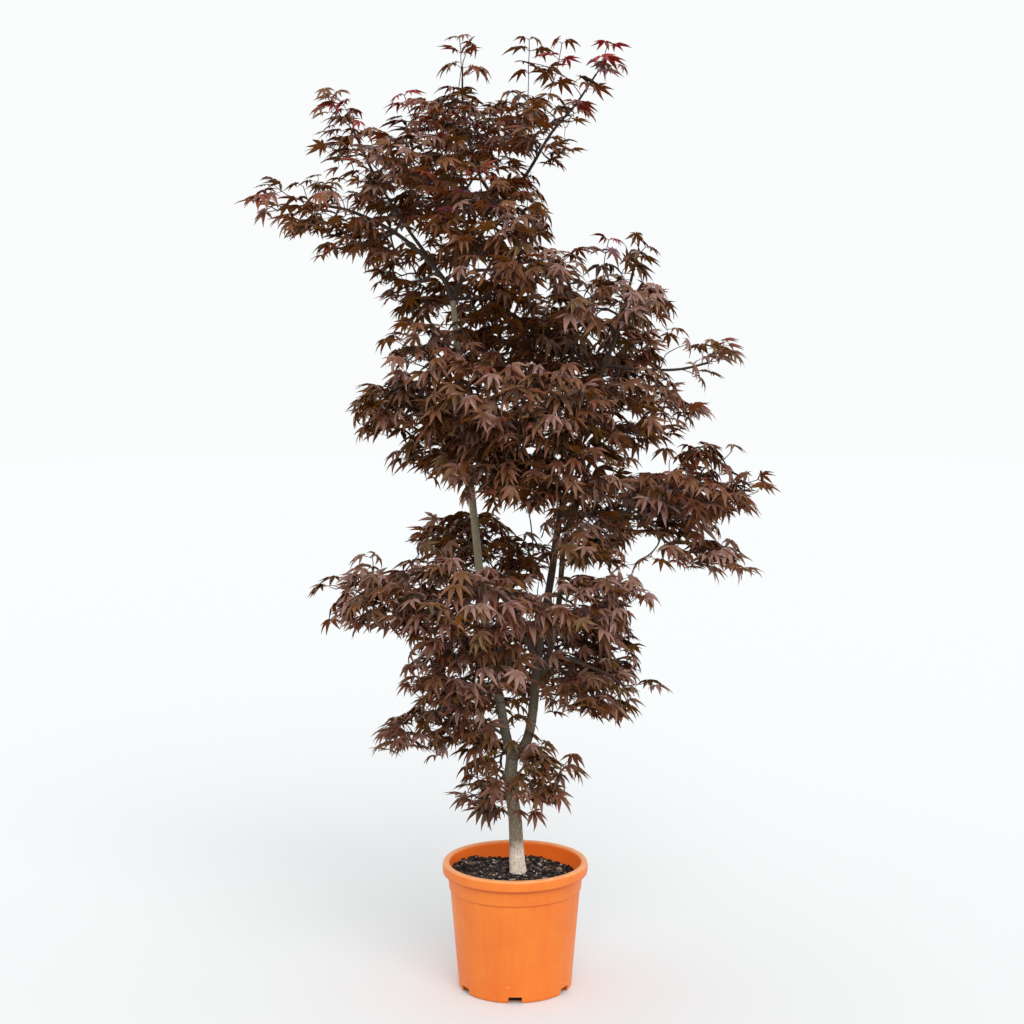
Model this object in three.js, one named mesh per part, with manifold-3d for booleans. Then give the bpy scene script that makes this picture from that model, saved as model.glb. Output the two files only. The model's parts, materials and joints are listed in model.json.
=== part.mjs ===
// A young upright maple with purple-bronze leaves, growing in an orange plastic nursery pot.
// Millimetres, +Z up, +X to the right. The origin is the centre of the pot's flat underside.
// The pot, the compost in it, the trunk, each stem and bough, and each mass of foliage is a solid of its own.
import * as THREE from 'three';
import { mergeVertices } from 'three/addons/utils/BufferGeometryUtils.js';
import Module from 'manifold-3d';

const wasm = await Module();
wasm.setup();

// ---------------------------------------------------------------- driving dimensions
const gap = 0.45;                // clearance between woody solids where one is cut round another
const massGap = 4.5;             // clearance between one mass and the next

// the pot
const potHeight = 248;
const potRimRadius = 141;        // outside of the collar
const potRimTopRadius = 138.5;   // outer edge of the rim's top
const potMouthRadius = 134;      // inner edge of the rim's top
const collarHeight = 21;         // height of the collar below the rim
const collarSkin = 2.2;          // thickness of the collar's hanging skirt
const bandDepth = 52;            // from the rim down to the foot of the plain band
const bandTopRadius = 131;
const bandFootRadius = 128.4;
const bodyTopRadius = 126.2;
const baseRadius = 109.5;
const baseRounding = 4;
const wall = 2.8;
const floorThickness = 3.2;
const potSides = 24;
const notchCount = 6;            // drainage notches through the foot of the wall
const notchWidth = 26;
const notchHeight = 13;

// the compost
const soilLevel = 214;           // mean height of its surface
const soilRoughness = 3.5;
const soilDish = 6;              // the surface sinks this much towards the wall
const trunkFoot = 217.5;         // the flat cut under the trunk

// ---------------------------------------------------------------- helpers
function seeded(seed) {
  let s = (seed * 2654435761) >>> 0 || 1;
  return () => {
    s ^= s << 13; s >>>= 0;
    s ^= s >>> 17;
    s ^= s << 5; s >>>= 0;
    return s / 4294967296;
  };
}

// keeps only shared positions and turns the faces outwards
function welded(geometry) {
  for (const key of Object.keys(geometry.attributes)) if (key !== 'position') geometry.deleteAttribute(key);
  const merged = mergeVertices(geometry, 1e-3);
  const p = merged.attributes.position.array;
  const t = merged.index.array;
  const faces = [];
  let volume = 0;
  for (let i = 0; i < t.length; i += 3) {
    const [a, b, c] = [t[i], t[i + 1], t[i + 2]];
    if (a === b || b === c || c === a) continue;
    faces.push(a, b, c);
    const [ax, ay, az, bx, by, bz, cx, cy, cz] = [a, b, c].flatMap((k) => [p[3 * k], p[3 * k + 1], p[3 * k + 2]]);
    volume += (ax * (by * cz - bz * cy) + ay * (bz * cx - bx * cz) + az * (bx * cy - by * cx)) / 6;
  }
  if (volume < 0) for (let i = 0; i < faces.length; i += 3) [faces[i + 1], faces[i + 2]] = [faces[i + 2], faces[i + 1]];
  merged.setIndex(faces);
  return merged;
}

function solidOf(geometry) {
  const g = welded(geometry);
  return new wasm.Manifold(new wasm.Mesh({
    numProp: 3,
    vertProperties: new Float32Array(g.attributes.position.array),
    triVerts: new Uint32Array(g.index.array),
  }));
}

// the largest body of a solid, as a geometry; slivers finer than `fine` are dropped
function geometryOf(solid, fine = 0.02) {
  const bodies = solid.simplify(fine).decompose().sort((a, b) => b.volume() - a.volume());
  const mesh = bodies[0].getMesh();
  const g = new THREE.BufferGeometry();
  g.setAttribute('position', new THREE.BufferAttribute(new Float32Array(mesh.vertProperties), 3));
  g.setIndex(Array.from(mesh.triVerts));
  return g;
}

const largest = (solid) => solid.decompose().sort((a, b) => b.volume() - a.volume())[0];

// a profile of radius and height turned about the vertical axis
function turned(profile, sides) {
  const g = new THREE.LatheGeometry(profile.map(([r, z]) => new THREE.Vector2(r, z)), sides);
  g.rotateX(Math.PI / 2);
  return g;
}

// a tapering limb along a smooth path: a closed cylinder bent onto the curve
function limbGeometry({ path, r0, r1, sides = 8, steps = 10, flare = 0, flareReach = 0.12, grow = 0, start = 0, end = 1, flatFoot = false }) {
  const curve = new THREE.CatmullRomCurve3(path.map((p) => new THREE.Vector3(...p)), false, 'centripetal');
  const frames = curve.computeFrenetFrames(steps, false);
  const g = new THREE.CylinderGeometry(1, 1, 1, sides, steps, false);
  const pos = g.attributes.position;
  const v = new THREE.Vector3();
  for (let i = 0; i < pos.count; i++) {
    v.fromBufferAttribute(pos, i);
    const t = v.y + 0.5;
    const k = Math.round(t * steps);
    const u = start + (end - start) * t;
    const c = curve.getPointAt(u);
    let r = r0 + (r1 - r0) * u;
    const angle = Math.atan2(v.z, v.x);
    if (flare) r += flare * Math.exp(-u / flareReach) * (1 + 0.25 * Math.cos(3 * angle + 0.6) + 0.3 * Math.cos(angle));
    r += grow;
    const n = frames.normals[k], b = frames.binormals[k];
    const q = new THREE.Vector3().copy(c).addScaledVector(n, v.x * r).addScaledVector(b, -v.z * r);
    if (grow && (k === 0 || k === steps)) q.addScaledVector(frames.tangents[k], (k === 0 ? -1 : 1) * grow);
    if (flatFoot && k === 0) q.z = path[0][2] - grow;
    pos.setXYZ(i, q.x, q.y, q.z);
  }
  return g;
}

// one mass of foliage: an uneven pad about `at`, tapered and drooping towards its `tip` side
function massGeometry({ at, half, tip = 0, droop = 0, detail = 2, seed, grow = 0 }) {
  const g = welded(detail === 2 ? new THREE.OctahedronGeometry(1, 3) : new THREE.IcosahedronGeometry(1, 1));
  const rnd = seeded(seed);
  const phase = Array.from({ length: 6 }, () => rnd() * Math.PI * 2);
  const turn = new THREE.Euler(rnd() * 6, rnd() * 6, rnd() * 6);
  const pos = g.attributes.position;
  const jitter = Array.from({ length: pos.count }, () => rnd());
  const tx = Math.cos(tip * Math.PI / 180), ty = Math.sin(tip * Math.PI / 180);
  const v = new THREE.Vector3();
  for (let i = 0; i < pos.count; i++) {
    v.fromBufferAttribute(pos, i).applyEuler(turn);
    const around = Math.atan2(v.y, v.x);
    const flat = Math.hypot(v.x, v.y);
    let r = 1 + flat * (0.11 * Math.sin(2 * around + phase[0]) + 0.09 * Math.sin(3 * around + phase[1]) + 0.06 * Math.sin(5 * around + phase[2]));
    r += 0.10 * v.z * Math.sin(2 * around + phase[3]) + 0.13 * (jitter[i] - 0.5);
    v.multiplyScalar(r);
    const s = v.x * tx + v.y * ty;
    const pinch = 1 - 0.32 * Math.max(0, s) * Math.min(1, Math.abs(s));
    const across = (-v.x * ty + v.y * tx) * pinch;
    const x = (s * tx - across * ty) * half[0];
    const y = (s * ty + across * tx) * half[1];
    let z = v.z * pinch * half[2] * (v.z < 0 ? 0.92 : 1);
    z -= droop * s * Math.abs(s) * (s > 0 ? 1 : 0.25);
    const q = new THREE.Vector3(x, y, z);
    if (grow) {
      const out = new THREE.Vector3(v.x / half[0], v.y / half[1], v.z / half[2]).normalize();
      q.addScaledVector(out, grow);
    }
    pos.setXYZ(i, q.x + at[0], q.y + at[1], q.z + at[2]);
  }
  return g;
}

const material = (color, roughness, metalness = 0) => new THREE.MeshStandardMaterial({ color, roughness, metalness });
const orangePlastic = material('#ec7f3a', 0.45);
const darkCompost = material('#3a2b25', 0.95);
const greyBark = material('#8a8378', 0.85);
const brownBark = material('#5c4a42', 0.8);
const purpleLeaf = material('#5b2f2e', 0.6);

const tree = new THREE.Group();
function add(name, geometry, mat) {
  const mesh = new THREE.Mesh(geometry, mat);
  mesh.name = name;
  tree.add(mesh);
}

// ---------------------------------------------------------------- pot and compost
function wallRadius(z) {
  const bandFoot = potHeight - bandDepth;
  if (z >= bandFoot) return bandFootRadius + (bandTopRadius - bandFootRadius) * (z - bandFoot) / (bandDepth - collarHeight);
  return baseRadius + (bodyTopRadius - baseRadius) * z / bandFoot;
}
const collarFoot = potHeight - collarHeight;
const bandFoot = potHeight - bandDepth;
const potProfile = [
  [0, 0],
  [baseRadius - baseRounding, 0],
  [baseRadius - 1, 1.6],
  [wallRadius(6), 6],
  [wallRadius(bandFoot - 3), bandFoot - 3],
  [bandFootRadius, bandFoot],
  [wallRadius(collarFoot + 4), collarFoot + 4],
  [potRimRadius - collarSkin - 0.8, collarFoot + 4],
  [potRimRadius - collarSkin - 0.8, collarFoot],
  [potRimRadius - 0.6, collarFoot],
  [potRimRadius, potHeight - 5],
  [potRimTopRadius, potHeight],
  [potMouthRadius, potHeight],
  [potMouthRadius - 1.6, potHeight - 5],
  [wallRadius(collarFoot) - wall, collarFoot],
  [wallRadius(bandFoot - 3) - wall, bandFoot - 3],
  [wallRadius(floorThickness) - wall, floorThickness],
  [0, floorThickness],
];
let pot = solidOf(turned(potProfile, potSides));
for (let i = 0; i < notchCount; i++) {
  const half = notchWidth / 2;
  const arch = new THREE.Shape();
  arch.moveTo(-half, -2);
  arch.lineTo(half, -2);
  arch.lineTo(half, notchHeight - 3);
  arch.lineTo(half - 3, notchHeight);
  arch.lineTo(-half + 3, notchHeight);
  arch.lineTo(-half, notchHeight - 3);
  arch.closePath();
  const g = new THREE.ExtrudeGeometry(arch, { depth: 26, bevelEnabled: false });
  g.rotateX(Math.PI / 2);                    // upright, running along -Y
  g.translate(0, -(baseRadius - 14), 0);
  g.rotateZ(i * 2 * Math.PI / notchCount);
  pot = pot.subtract(solidOf(g));
}
add('pot', geometryOf(pot), orangePlastic);

// the compost: a plug inside the wall with a crumbly top, flat just under the trunk
function soilGeometry() {
  const clear = 0.5;
  const edge = soilLevel - soilDish;
  const profile = [
    [0, floorThickness + clear],
    [wallRadius(floorThickness) - wall - clear - 0.5, floorThickness + clear],
    [(wallRadius(bandFoot - 3) - wall - clear) * Math.cos(Math.PI / 20) - 0.2, bandFoot - 3],
    [(wallRadius(edge) - wall - clear) * Math.cos(Math.PI / 20) - 1.2, edge],
    [104, edge + 3], [66, soilLevel - 1], [34, soilLevel + 1],
    [20, trunkFoot - 0.4], [0, trunkFoot - 0.4],
  ];
  const g = welded(turned(profile, 20));
  const pos = g.attributes.position;
  const rnd = seeded(11);
  for (let i = 0; i < pos.count; i++) {
    const x = pos.getX(i), y = pos.getY(i), z = pos.getZ(i);
    const r = Math.hypot(x, y);
    const wobble = rnd() - 0.5;
    if (z > edge - 1 && r > 30) {
      const lumps = Math.sin(x * 0.045 + 1.1) + Math.sin(y * 0.05 - x * 0.02 + 0.4) + 1.3 * wobble;
      pos.setZ(i, z + soilRoughness * lumps * (r < 60 ? 0.5 : 1) + (y > 60 ? 0.02 * (y - 60) : 0));
    }
  }
  return g;
}
add('compost', geometryOf(solidOf(soilGeometry())), darkCompost);

// ---------------------------------------------------------------- trunk, stems and boughs
// Each limb tapers from r0 to r1 along its path. `whole` limbs run on through the foliage;
// the others stop where they enter the mass named in `into`.
const fork = [-6, 5, 448];
const rightFork = [38, 0, 586];
const crownFork = [-117, 0, 1330];
const limbs = [
  { name: 'trunk', path: [[3, 0, trunkFoot], [3, 0, trunkFoot + 24], [0, 0, 327], [-9, 2, 405], fork], r0: 13.6, r1: 12.2, flare: 4.2, sides: 10, steps: 7, flatFoot: true, whole: true },
  { name: 'left_stem', path: [fork, [-19, 3, 501], [-33, -3, 584], [-55, -12, 703], [-77, -22, 914], [-97, -15, 1105], crownFork], r0: 9.6, r1: 5.2, sides: 7, steps: 12, whole: true },
  { name: 'right_stem', path: [fork, [21, 4, 480], [33, 2, 532], rightFork, [42, -10, 648], [68, -25, 805], [85, -30, 926], [122, -25, 1068], [160, -15, 1180], [198, -5, 1292], [232, 0, 1425]], r0: 10, r1: 2.2, sides: 7, steps: 14, whole: true },
  { name: 'right_back_stem', path: [rightFork, [57, 12, 622], [83, 35, 734], [96, 60, 860], [124, 88, 960], [166, 112, 1059], [200, 130, 1160]], r0: 6.6, r1: 3, sides: 7, steps: 8, whole: true },
  { name: 'leader', path: [crownFork, [-80, 8, 1423], [-29, 14, 1507], [18, 12, 1560], [69, 0, 1641], [112, -8, 1690], [150, -15, 1745]], r0: 5, r1: 1.8, sides: 7, steps: 8, whole: true },
  { name: 'left_leader', path: [[-29, 14, 1507], [-66, 6, 1560], [-84, 0, 1620], [-97, 0, 1690], [-98, 0, 1760]], r0: 3.4, r1: 1.5, sides: 6, steps: 5, whole: true },
  { name: 'arm_bough', path: [crownFork, [-136, -5, 1371], [-215, -15, 1448], [-307, -20, 1494], [-360, -20, 1505]], r0: 4.6, r1: 2.6, sides: 6, steps: 5, into: 'arm_left' },
  { name: 'shoulder_bough', path: [[-150, -6, 1392], [-205, -2, 1468], [-262, 0, 1560], [-300, 2, 1640]], r0: 3.4, r1: 2.2, sides: 6, steps: 4, into: 'shoulder' },
  { name: 'upper_back_bough', path: [[-74, 9, 1430], [-84, 60, 1480], [-105, 130, 1525]], r0: 3.4, r1: 2.4, sides: 6, steps: 3, into: 'upper_back' },
  { name: 'right_wing_bough', path: [[170, -12, 1208], [240, -12, 1200], [310, -6, 1200], [365, 0, 1212]], r0: 3.4, r1: 2.2, sides: 6, steps: 4, into: 'right_wing' },
  { name: 'left_pad_bough', path: [[-86, -19, 1010], [-130, -20, 1075], [-190, -20, 1125]], r0: 3.8, r1: 2.6, sides: 6, steps: 3, into: 'left_pad' },
  { name: 'right_low_bough', path: [[76, -28, 860], [160, -24, 905], [250, -14, 950], [330, -10, 980]], r0: 4.4, r1: 2.8, sides: 6, steps: 4, into: 'right_low_pad' },
  { name: 'left_arm_bough', path: [[-44, -7, 640], [-110, -30, 705], [-190, -58, 755], [-270, -78, 775]], r0: 4, r1: 2.4, sides: 6, steps: 4, into: 'left_arm' },
  { name: 'front_pad_bough', path: [[100, -28, 990], [92, -70, 1060], [72, -120, 1115], [50, -155, 1160]], r0: 3.8, r1: 2.6, sides: 6, steps: 3, into: 'front_pad' },
  { name: 'back_skirt_bough', path: [[62, 16, 630], [68, 60, 650], [62, 110, 655], [55, 150, 645]], r0: 3.6, r1: 2.6, sides: 6, steps: 3, into: 'back_skirt' },
  { name: 'front_bough', path: [[42, -10, 648], [15, -65, 700], [-20, -125, 745], [-50, -175, 770]], r0: 4, r1: 2.6, sides: 6, steps: 3, into: 'front_skirt' },
  { name: 'right_skirt_bough', path: [[40, -8, 640], [90, -16, 650], [150, -20, 630], [185, -20, 615]], r0: 3.6, r1: 2.4, sides: 6, steps: 3, into: 'right_skirt' },
  { name: 'left_foot_bough', path: [[-17, 3, 492], [-60, -4, 518], [-115, -14, 520], [-170, -20, 500]], r0: 3.2, r1: 2.2, sides: 6, steps: 3, into: 'left_foot_pad' },
];

// ---------------------------------------------------------------- foliage masses
// at: centre; half: half sizes along X, Y and Z; tip: plan direction, in degrees, in which the mass
// runs out to a thinner, drooping end
const masses = [
  { name: 'spire_left'        , at: [-84, 0, 1758], half: [42, 44, 66], tip: 90, droop: 0, detail: 1 },
  { name: 'spire_middle'      , at: [45, 22, 1768], half: [50, 44, 56], tip: 0, droop: 0, detail: 1 },
  { name: 'spire_right'       , at: [160, -15, 1762], half: [42, 44, 52], tip: 0, droop: 0, detail: 1 },
  { name: 'top_left'          , at: [-140, -45, 1668], half: [98, 105, 50], tip: 180, droop: 10, detail: 1 },
  { name: 'top_right'         , at: [40, -35, 1648], half: [100, 100, 70], tip: 0, droop: 5, detail: 1 },
  { name: 'top_back'          , at: [-69, 122, 1638], half: [100, 88, 87], tip: 90, droop: 10, detail: 1 },
  { name: 'shoulder'          , at: [-318, 0, 1637], half: [66, 70, 78], tip: 180, droop: 10, detail: 1 },
  { name: 'arm_left'          , at: [-385, -20, 1500], half: [122, 76, 60], tip: 180, droop: -15, detail: 2 },
  { name: 'upper_left'        , at: [-187, -80, 1574], half: [121, 105, 76], tip: 180, droop: 10, detail: 1 },
  { name: 'upper_middle'      , at: [-43, -95, 1482], half: [106, 112, 97], tip: -90, droop: 10, detail: 1 },
  { name: 'upper_back'        , at: [-158, 150, 1531], half: [162, 105, 74], tip: 90, droop: 15, detail: 1 },
  { name: 'hang_left'         , at: [-264, 10, 1448], half: [102, 95, 52], tip: 180, droop: 15, detail: 1 },
  { name: 'hang_middle'       , at: [5, -125, 1394], half: [123, 112, 47], tip: -90, droop: 15, detail: 1 },
  { name: 'hang_back'         , at: [-120, 150, 1364], half: [180, 112, 97], tip: 90, droop: 15, detail: 2 },
  { name: 'right_spire'       , at: [222, 0, 1402], half: [48, 48, 62], tip: 0, droop: 0, detail: 1 },
  { name: 'right_top'         , at: [179, -50, 1324], half: [121, 115, 51], tip: 0, droop: 10, detail: 1 },
  { name: 'right_wing'        , at: [374, 0, 1216], half: [56, 50, 50], tip: 0, droop: -10, detail: 1 },
  { name: 'mid_left'          , at: [-159, -95, 1237], half: [90, 105, 76], tip: 180, droop: 10, detail: 1 },
  { name: 'left_pad'          , at: [-218, 0, 1132], half: [92, 112, 60], tip: 180, droop: 15, detail: 1 },
  { name: 'front_pad'         , at: [5, -162, 1135], half: [177, 118, 97], tip: -90, droop: 15, detail: 2 },
  { name: 'right_pad'         , at: [220, -10, 1122], half: [150, 110, 90], tip: 0, droop: 10, detail: 1 },
  { name: 'back_pad'          , at: [78, 172, 1238], half: [235, 112, 100], tip: 90, droop: 20, detail: 1 },
  { name: 'left_low_pad'      , at: [-102, 25, 1054], half: [133, 110, 62], tip: 180, droop: 10, detail: 1 },
  { name: 'front_low_pad'     , at: [29, -142, 1030], half: [175, 108, 88], tip: -90, droop: 15, detail: 1 },
  { name: 'right_low_pad'     , at: [345, -20, 980], half: [136, 102, 76], tip: 0, droop: 0, detail: 2 },
  { name: 'right_hang'        , at: [332, -10, 850], half: [109, 80, 52], tip: 0, droop: 15, detail: 1 },
  { name: 'right_back_pad'    , at: [228, 172, 920], half: [155, 102, 77], tip: 90, droop: 15, detail: 2 },
  { name: 'right_front_hang'  , at: [130, -100, 882], half: [96, 88, 57], tip: -90, droop: 15, detail: 1 },
  { name: 'behind_left'       , at: [-110, 95, 873], half: [92, 95, 57], tip: 180, droop: 10, detail: 1 },
  { name: 'behind_middle'     , at: [-50, 150, 818], half: [115, 88, 71], tip: 90, droop: 10, detail: 1 },
  { name: 'left_arm'          , at: [-278, -85, 778], half: [106, 80, 66], tip: 180, droop: -5, detail: 2 },
  { name: 'front_skirt'       , at: [-105, -185, 786], half: [136, 98, 87], tip: -90, droop: 20, detail: 1 },
  { name: 'front_right_skirt' , at: [117, -145, 784], half: [136, 92, 65], tip: -60, droop: 15, detail: 1 },
  { name: 'front_low_skirt'   , at: [-95, -122, 650], half: [112, 92, 87], tip: -90, droop: 15, detail: 1 },
  { name: 'right_skirt'       , at: [152, -20, 592], half: [106, 88, 58], tip: 0, droop: 10, detail: 1 },
  { name: 'left_skirt'        , at: [-80, -20, 540], half: [130, 84, 82], tip: 180, droop: 10, detail: 1 },
  { name: 'left_foot_pad'     , at: [-198, -20, 496], half: [86, 66, 46], tip: 180, droop: 10, detail: 1 },
  { name: 'back_skirt'        , at: [72, 150, 636], half: [179, 102, 100], tip: 90, droop: 15, detail: 1 },
  { name: 'foot_left'         , at: [-22, -10, 403], half: [93, 66, 90], tip: 180, droop: 0, detail: 1 },
  { name: 'foot_right'        , at: [49, 0, 431], half: [72, 62, 42], tip: 0, droop: 0, detail: 1 },];

// ---------------------------------------------------------------- cutting and assembly
const limbSolid = new Map();
const limbCutter = new Map();
const leafCutter = new Map();
for (const limb of limbs) {
  limbSolid.set(limb.name, solidOf(limbGeometry(limb)));
  limbCutter.set(limb.name, solidOf(limbGeometry({ ...limb, grow: gap })));
  leafCutter.set(limb.name, solidOf(limbGeometry({ ...limb, sides: 5, grow: 3 + 0.26 * (limb.r0 + (limb.flare ?? 0)) })));
}
masses.forEach((mass, i) => { mass.seed = 101 + 17 * i; });
const massCutter = new Map(masses.map((mass) => [mass.name, solidOf(massGeometry({ ...mass, grow: massGap }))]));

// a limb is cut back where it leaves an earlier one, and stops at the mass that it feeds
const finished = [];
for (const limb of limbs) {
  let solid = limbSolid.get(limb.name);
  for (const earlier of finished) solid = solid.subtract(limbCutter.get(earlier));
  if (limb.into) solid = solid.subtract(massCutter.get(limb.into));
  solid = largest(solid);
  add(limb.name, geometryOf(solid, 0.08), limb.name === 'trunk' ? greyBark : brownBark);
  finished.push(limb.name);
}

// a mass is cut round every limb and round the masses before it
const done = [];
for (const mass of masses) {
  let solid = solidOf(massGeometry(mass));
  for (const limb of limbs) solid = solid.subtract(leafCutter.get(limb.name));
  for (const earlier of done) solid = solid.subtract(massCutter.get(earlier));
  add(mass.name, geometryOf(largest(solid), 2.4), purpleLeaf);
  done.push(mass.name);
}

export default tree;
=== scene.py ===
"""Potted japanese maple: the looks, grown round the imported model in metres."""
import json
import math
import bpy
import numpy as np
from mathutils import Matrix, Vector
from mathutils.bvhtree import BVHTree

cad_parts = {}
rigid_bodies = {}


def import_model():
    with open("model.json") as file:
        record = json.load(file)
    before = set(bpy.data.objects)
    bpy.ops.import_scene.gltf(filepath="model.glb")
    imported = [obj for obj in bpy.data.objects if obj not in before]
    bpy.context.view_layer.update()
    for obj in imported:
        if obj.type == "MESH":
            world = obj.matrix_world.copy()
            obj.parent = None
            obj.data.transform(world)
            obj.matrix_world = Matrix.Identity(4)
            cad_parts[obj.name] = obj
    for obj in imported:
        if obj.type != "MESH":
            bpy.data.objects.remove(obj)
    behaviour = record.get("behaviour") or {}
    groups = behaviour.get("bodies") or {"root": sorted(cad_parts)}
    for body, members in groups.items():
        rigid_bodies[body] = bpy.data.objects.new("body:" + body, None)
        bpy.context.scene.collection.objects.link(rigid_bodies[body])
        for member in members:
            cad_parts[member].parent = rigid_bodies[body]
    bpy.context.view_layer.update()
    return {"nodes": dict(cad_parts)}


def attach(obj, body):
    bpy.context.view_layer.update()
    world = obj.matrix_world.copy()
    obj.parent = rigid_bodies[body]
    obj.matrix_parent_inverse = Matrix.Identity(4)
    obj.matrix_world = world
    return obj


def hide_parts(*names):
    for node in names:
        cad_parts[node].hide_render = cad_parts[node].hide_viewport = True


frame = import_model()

rng = np.random.default_rng(4107)
TAU = 2 * math.pi
UP = np.array([0.0, 0.0, 1.0])
scene = bpy.context.scene

# ------------------------------------------------------------------ small helpers


def unit(v):
    v = np.asarray(v, float)
    n = np.linalg.norm(v, axis=-1, keepdims=True)
    return v / np.where(n < 1e-12, 1.0, n)


def srgb(r, g, b):
    """0-255 display values as linear colour."""
    out = []
    for c in (r, g, b):
        c /= 255.0
        out.append(c / 12.92 if c <= 0.04045 else ((c + 0.055) / 1.055) ** 2.4)
    return (*out, 1.0)


def wobble(p, scale, seed=0, octaves=3):
    """Smooth noise in about -1..1 at points p, from sums of turned sine waves."""
    r = np.random.default_rng(seed)
    out = np.zeros(len(p))
    amp = 1.0
    total = 0.0
    for o in range(octaves):
        for _ in range(4):
            d = r.normal(size=3)
            d = d / np.linalg.norm(d) * scale * (1.9 ** o) * r.uniform(0.7, 1.3)
            out += amp * np.sin(p @ d + r.uniform(0, TAU)) / 2.2
        total += amp
        amp *= 0.55
    return out / total


def mesh_object(name, verts, faces, mats, slots=None, smooth=True, sharp_verts=None, replaces=()):
    """One object from arrays. faces is an (n, 3) or (n, 4) array or a list of polygons."""
    me = bpy.data.meshes.new(name)
    verts = np.asarray(verts, np.float32)
    if isinstance(faces, np.ndarray):
        k = faces.shape[1]
        me.vertices.add(len(verts))
        me.vertices.foreach_set("co", verts.ravel())
        me.loops.add(faces.size)
        me.loops.foreach_set("vertex_index", faces.astype(np.int32).ravel())
        me.polygons.add(len(faces))
        me.polygons.foreach_set("loop_start", np.arange(0, faces.size, k, dtype=np.int32))
        me.polygons.foreach_set("loop_total", np.full(len(faces), k, np.int32))
        me.update(calc_edges=True)
    else:
        me.from_pydata(verts.tolist(), [], [list(map(int, f)) for f in faces])
        me.update()
    for m in mats:
        me.materials.append(m)
    if slots is not None:
        me.polygons.foreach_set("material_index", np.asarray(slots, np.int32))
    me.polygons.foreach_set("use_smooth", np.full(len(me.polygons), smooth))
    if sharp_verts is not None:
        ev = np.empty(len(me.edges) * 2, np.int32)
        me.edges.foreach_get("vertices", ev)
        ev = ev.reshape(-1, 2)
        flags = sharp_verts[ev[:, 0]] & sharp_verts[ev[:, 1]]
        attr = me.attributes.new("sharp_edge", "BOOLEAN", "EDGE")
        attr.data.foreach_set("value", flags)
    me.validate()
    me.update()
    ob = bpy.data.objects.new(name, me)
    scene.collection.objects.link(ob)
    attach(ob, "root")
    if replaces:
        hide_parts(*replaces)
    return ob


# ------------------------------------------------------------------ the pot's sizes, as in the CAD

POT_H, RIM_R, COLLAR, BAND = 0.248, 0.141, 0.021, 0.052
BAND_FOOT = POT_H - BAND
WALL = 0.0028
BASE_R, BODY_TOP, BAND_TOP_R, BAND_FOOT_R = 0.1095, 0.1262, 0.131, 0.1284

# ------------------------------------------------------------------ materials


def new_material(name):
    m = bpy.data.materials.new(name)
    m.use_nodes = True
    nt = m.node_tree
    return m, nt, nt.nodes["Principled BSDF"]


def add_node(nt, kind, **values):
    n = nt.nodes.new(kind)
    for key, value in values.items():
        if key in n.inputs:
            n.inputs[key].default_value = value
        else:
            setattr(n, key, value)
    return n


def leaf_material(name, rgb, rough, spec=0.5, sheen=0.0, sheen_tint=(1, 1, 1, 1)):
    m, nt, p = new_material(name)
    p.inputs["Base Color"].default_value = srgb(*rgb)
    p.inputs["Roughness"].default_value = rough
    p.inputs["Specular IOR Level"].default_value = spec
    p.inputs["Specular Tint"].default_value = (1.0, 0.74, 0.64, 1.0)
    if sheen:
        p.inputs["Sheen Weight"].default_value = sheen
        p.inputs["Sheen Roughness"].default_value = 0.4
        p.inputs["Sheen Tint"].default_value = sheen_tint
    return m


def ramp(nt, stops, fac=None, interpolation="LINEAR"):
    r = nt.nodes.new("ShaderNodeValToRGB")
    r.color_ramp.interpolation = interpolation
    els = r.color_ramp.elements
    while len(els) < len(stops):
        els.new(0.5)
    for el, (pos, col) in zip(els, stops):
        el.position = pos
        el.color = col
    if fac is not None:
        nt.links.new(fac, r.inputs[0])
    return r


def mix_colour(nt, fac, a, b, blend="MIX"):
    n = nt.nodes.new("ShaderNodeMix")
    n.data_type = "RGBA"
    n.blend_type = blend
    for sock, value in ((n.inputs[0], fac), (n.inputs[6], a), (n.inputs[7], b)):
        if hasattr(value, "is_linked"):
            nt.links.new(value, sock)
        else:
            sock.default_value = value
    return n.outputs[2]


def object_coords(nt, scale=(1, 1, 1)):
    tc = nt.nodes.new("ShaderNodeTexCoord")
    mp = nt.nodes.new("ShaderNodeMapping")
    mp.inputs["Scale"].default_value = scale
    nt.links.new(tc.outputs["Object"], mp.inputs["Vector"])
    return mp.outputs["Vector"]


def noise(nt, vector, scale, detail=4.0, rough=0.6):
    n = nt.nodes.new("ShaderNodeTexNoise")
    n.inputs["Scale"].default_value = scale
    n.inputs["Detail"].default_value = detail
    n.inputs["Roughness"].default_value = rough
    nt.links.new(vector, n.inputs["Vector"])
    return n.outputs["Fac"]


def bump(nt, height, strength, distance, normal=None):
    b = nt.nodes.new("ShaderNodeBump")
    b.inputs["Strength"].default_value = strength
    b.inputs["Distance"].default_value = distance
    nt.links.new(height, b.inputs["Height"])
    if normal is not None:
        nt.links.new(normal, b.inputs["Normal"])
    return b.outputs["Normal"]


def band_of(nt, z, lo, hi, soft):
    """1 where z lies between lo and hi, 0 outside, with soft ends."""
    up = nt.nodes.new("ShaderNodeMapRange")
    up.inputs["From Min"].default_value = lo - soft
    up.inputs["From Max"].default_value = lo + soft
    nt.links.new(z, up.inputs["Value"])
    dn = nt.nodes.new("ShaderNodeMapRange")
    dn.inputs["From Min"].default_value = hi + soft
    dn.inputs["From Max"].default_value = hi - soft
    nt.links.new(z, dn.inputs["Value"])
    m = nt.nodes.new("ShaderNodeMath")
    m.operation = "MULTIPLY"
    nt.links.new(up.outputs["Result"], m.inputs[0])
    nt.links.new(dn.outputs["Result"], m.inputs[1])
    return m.outputs[0]


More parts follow.
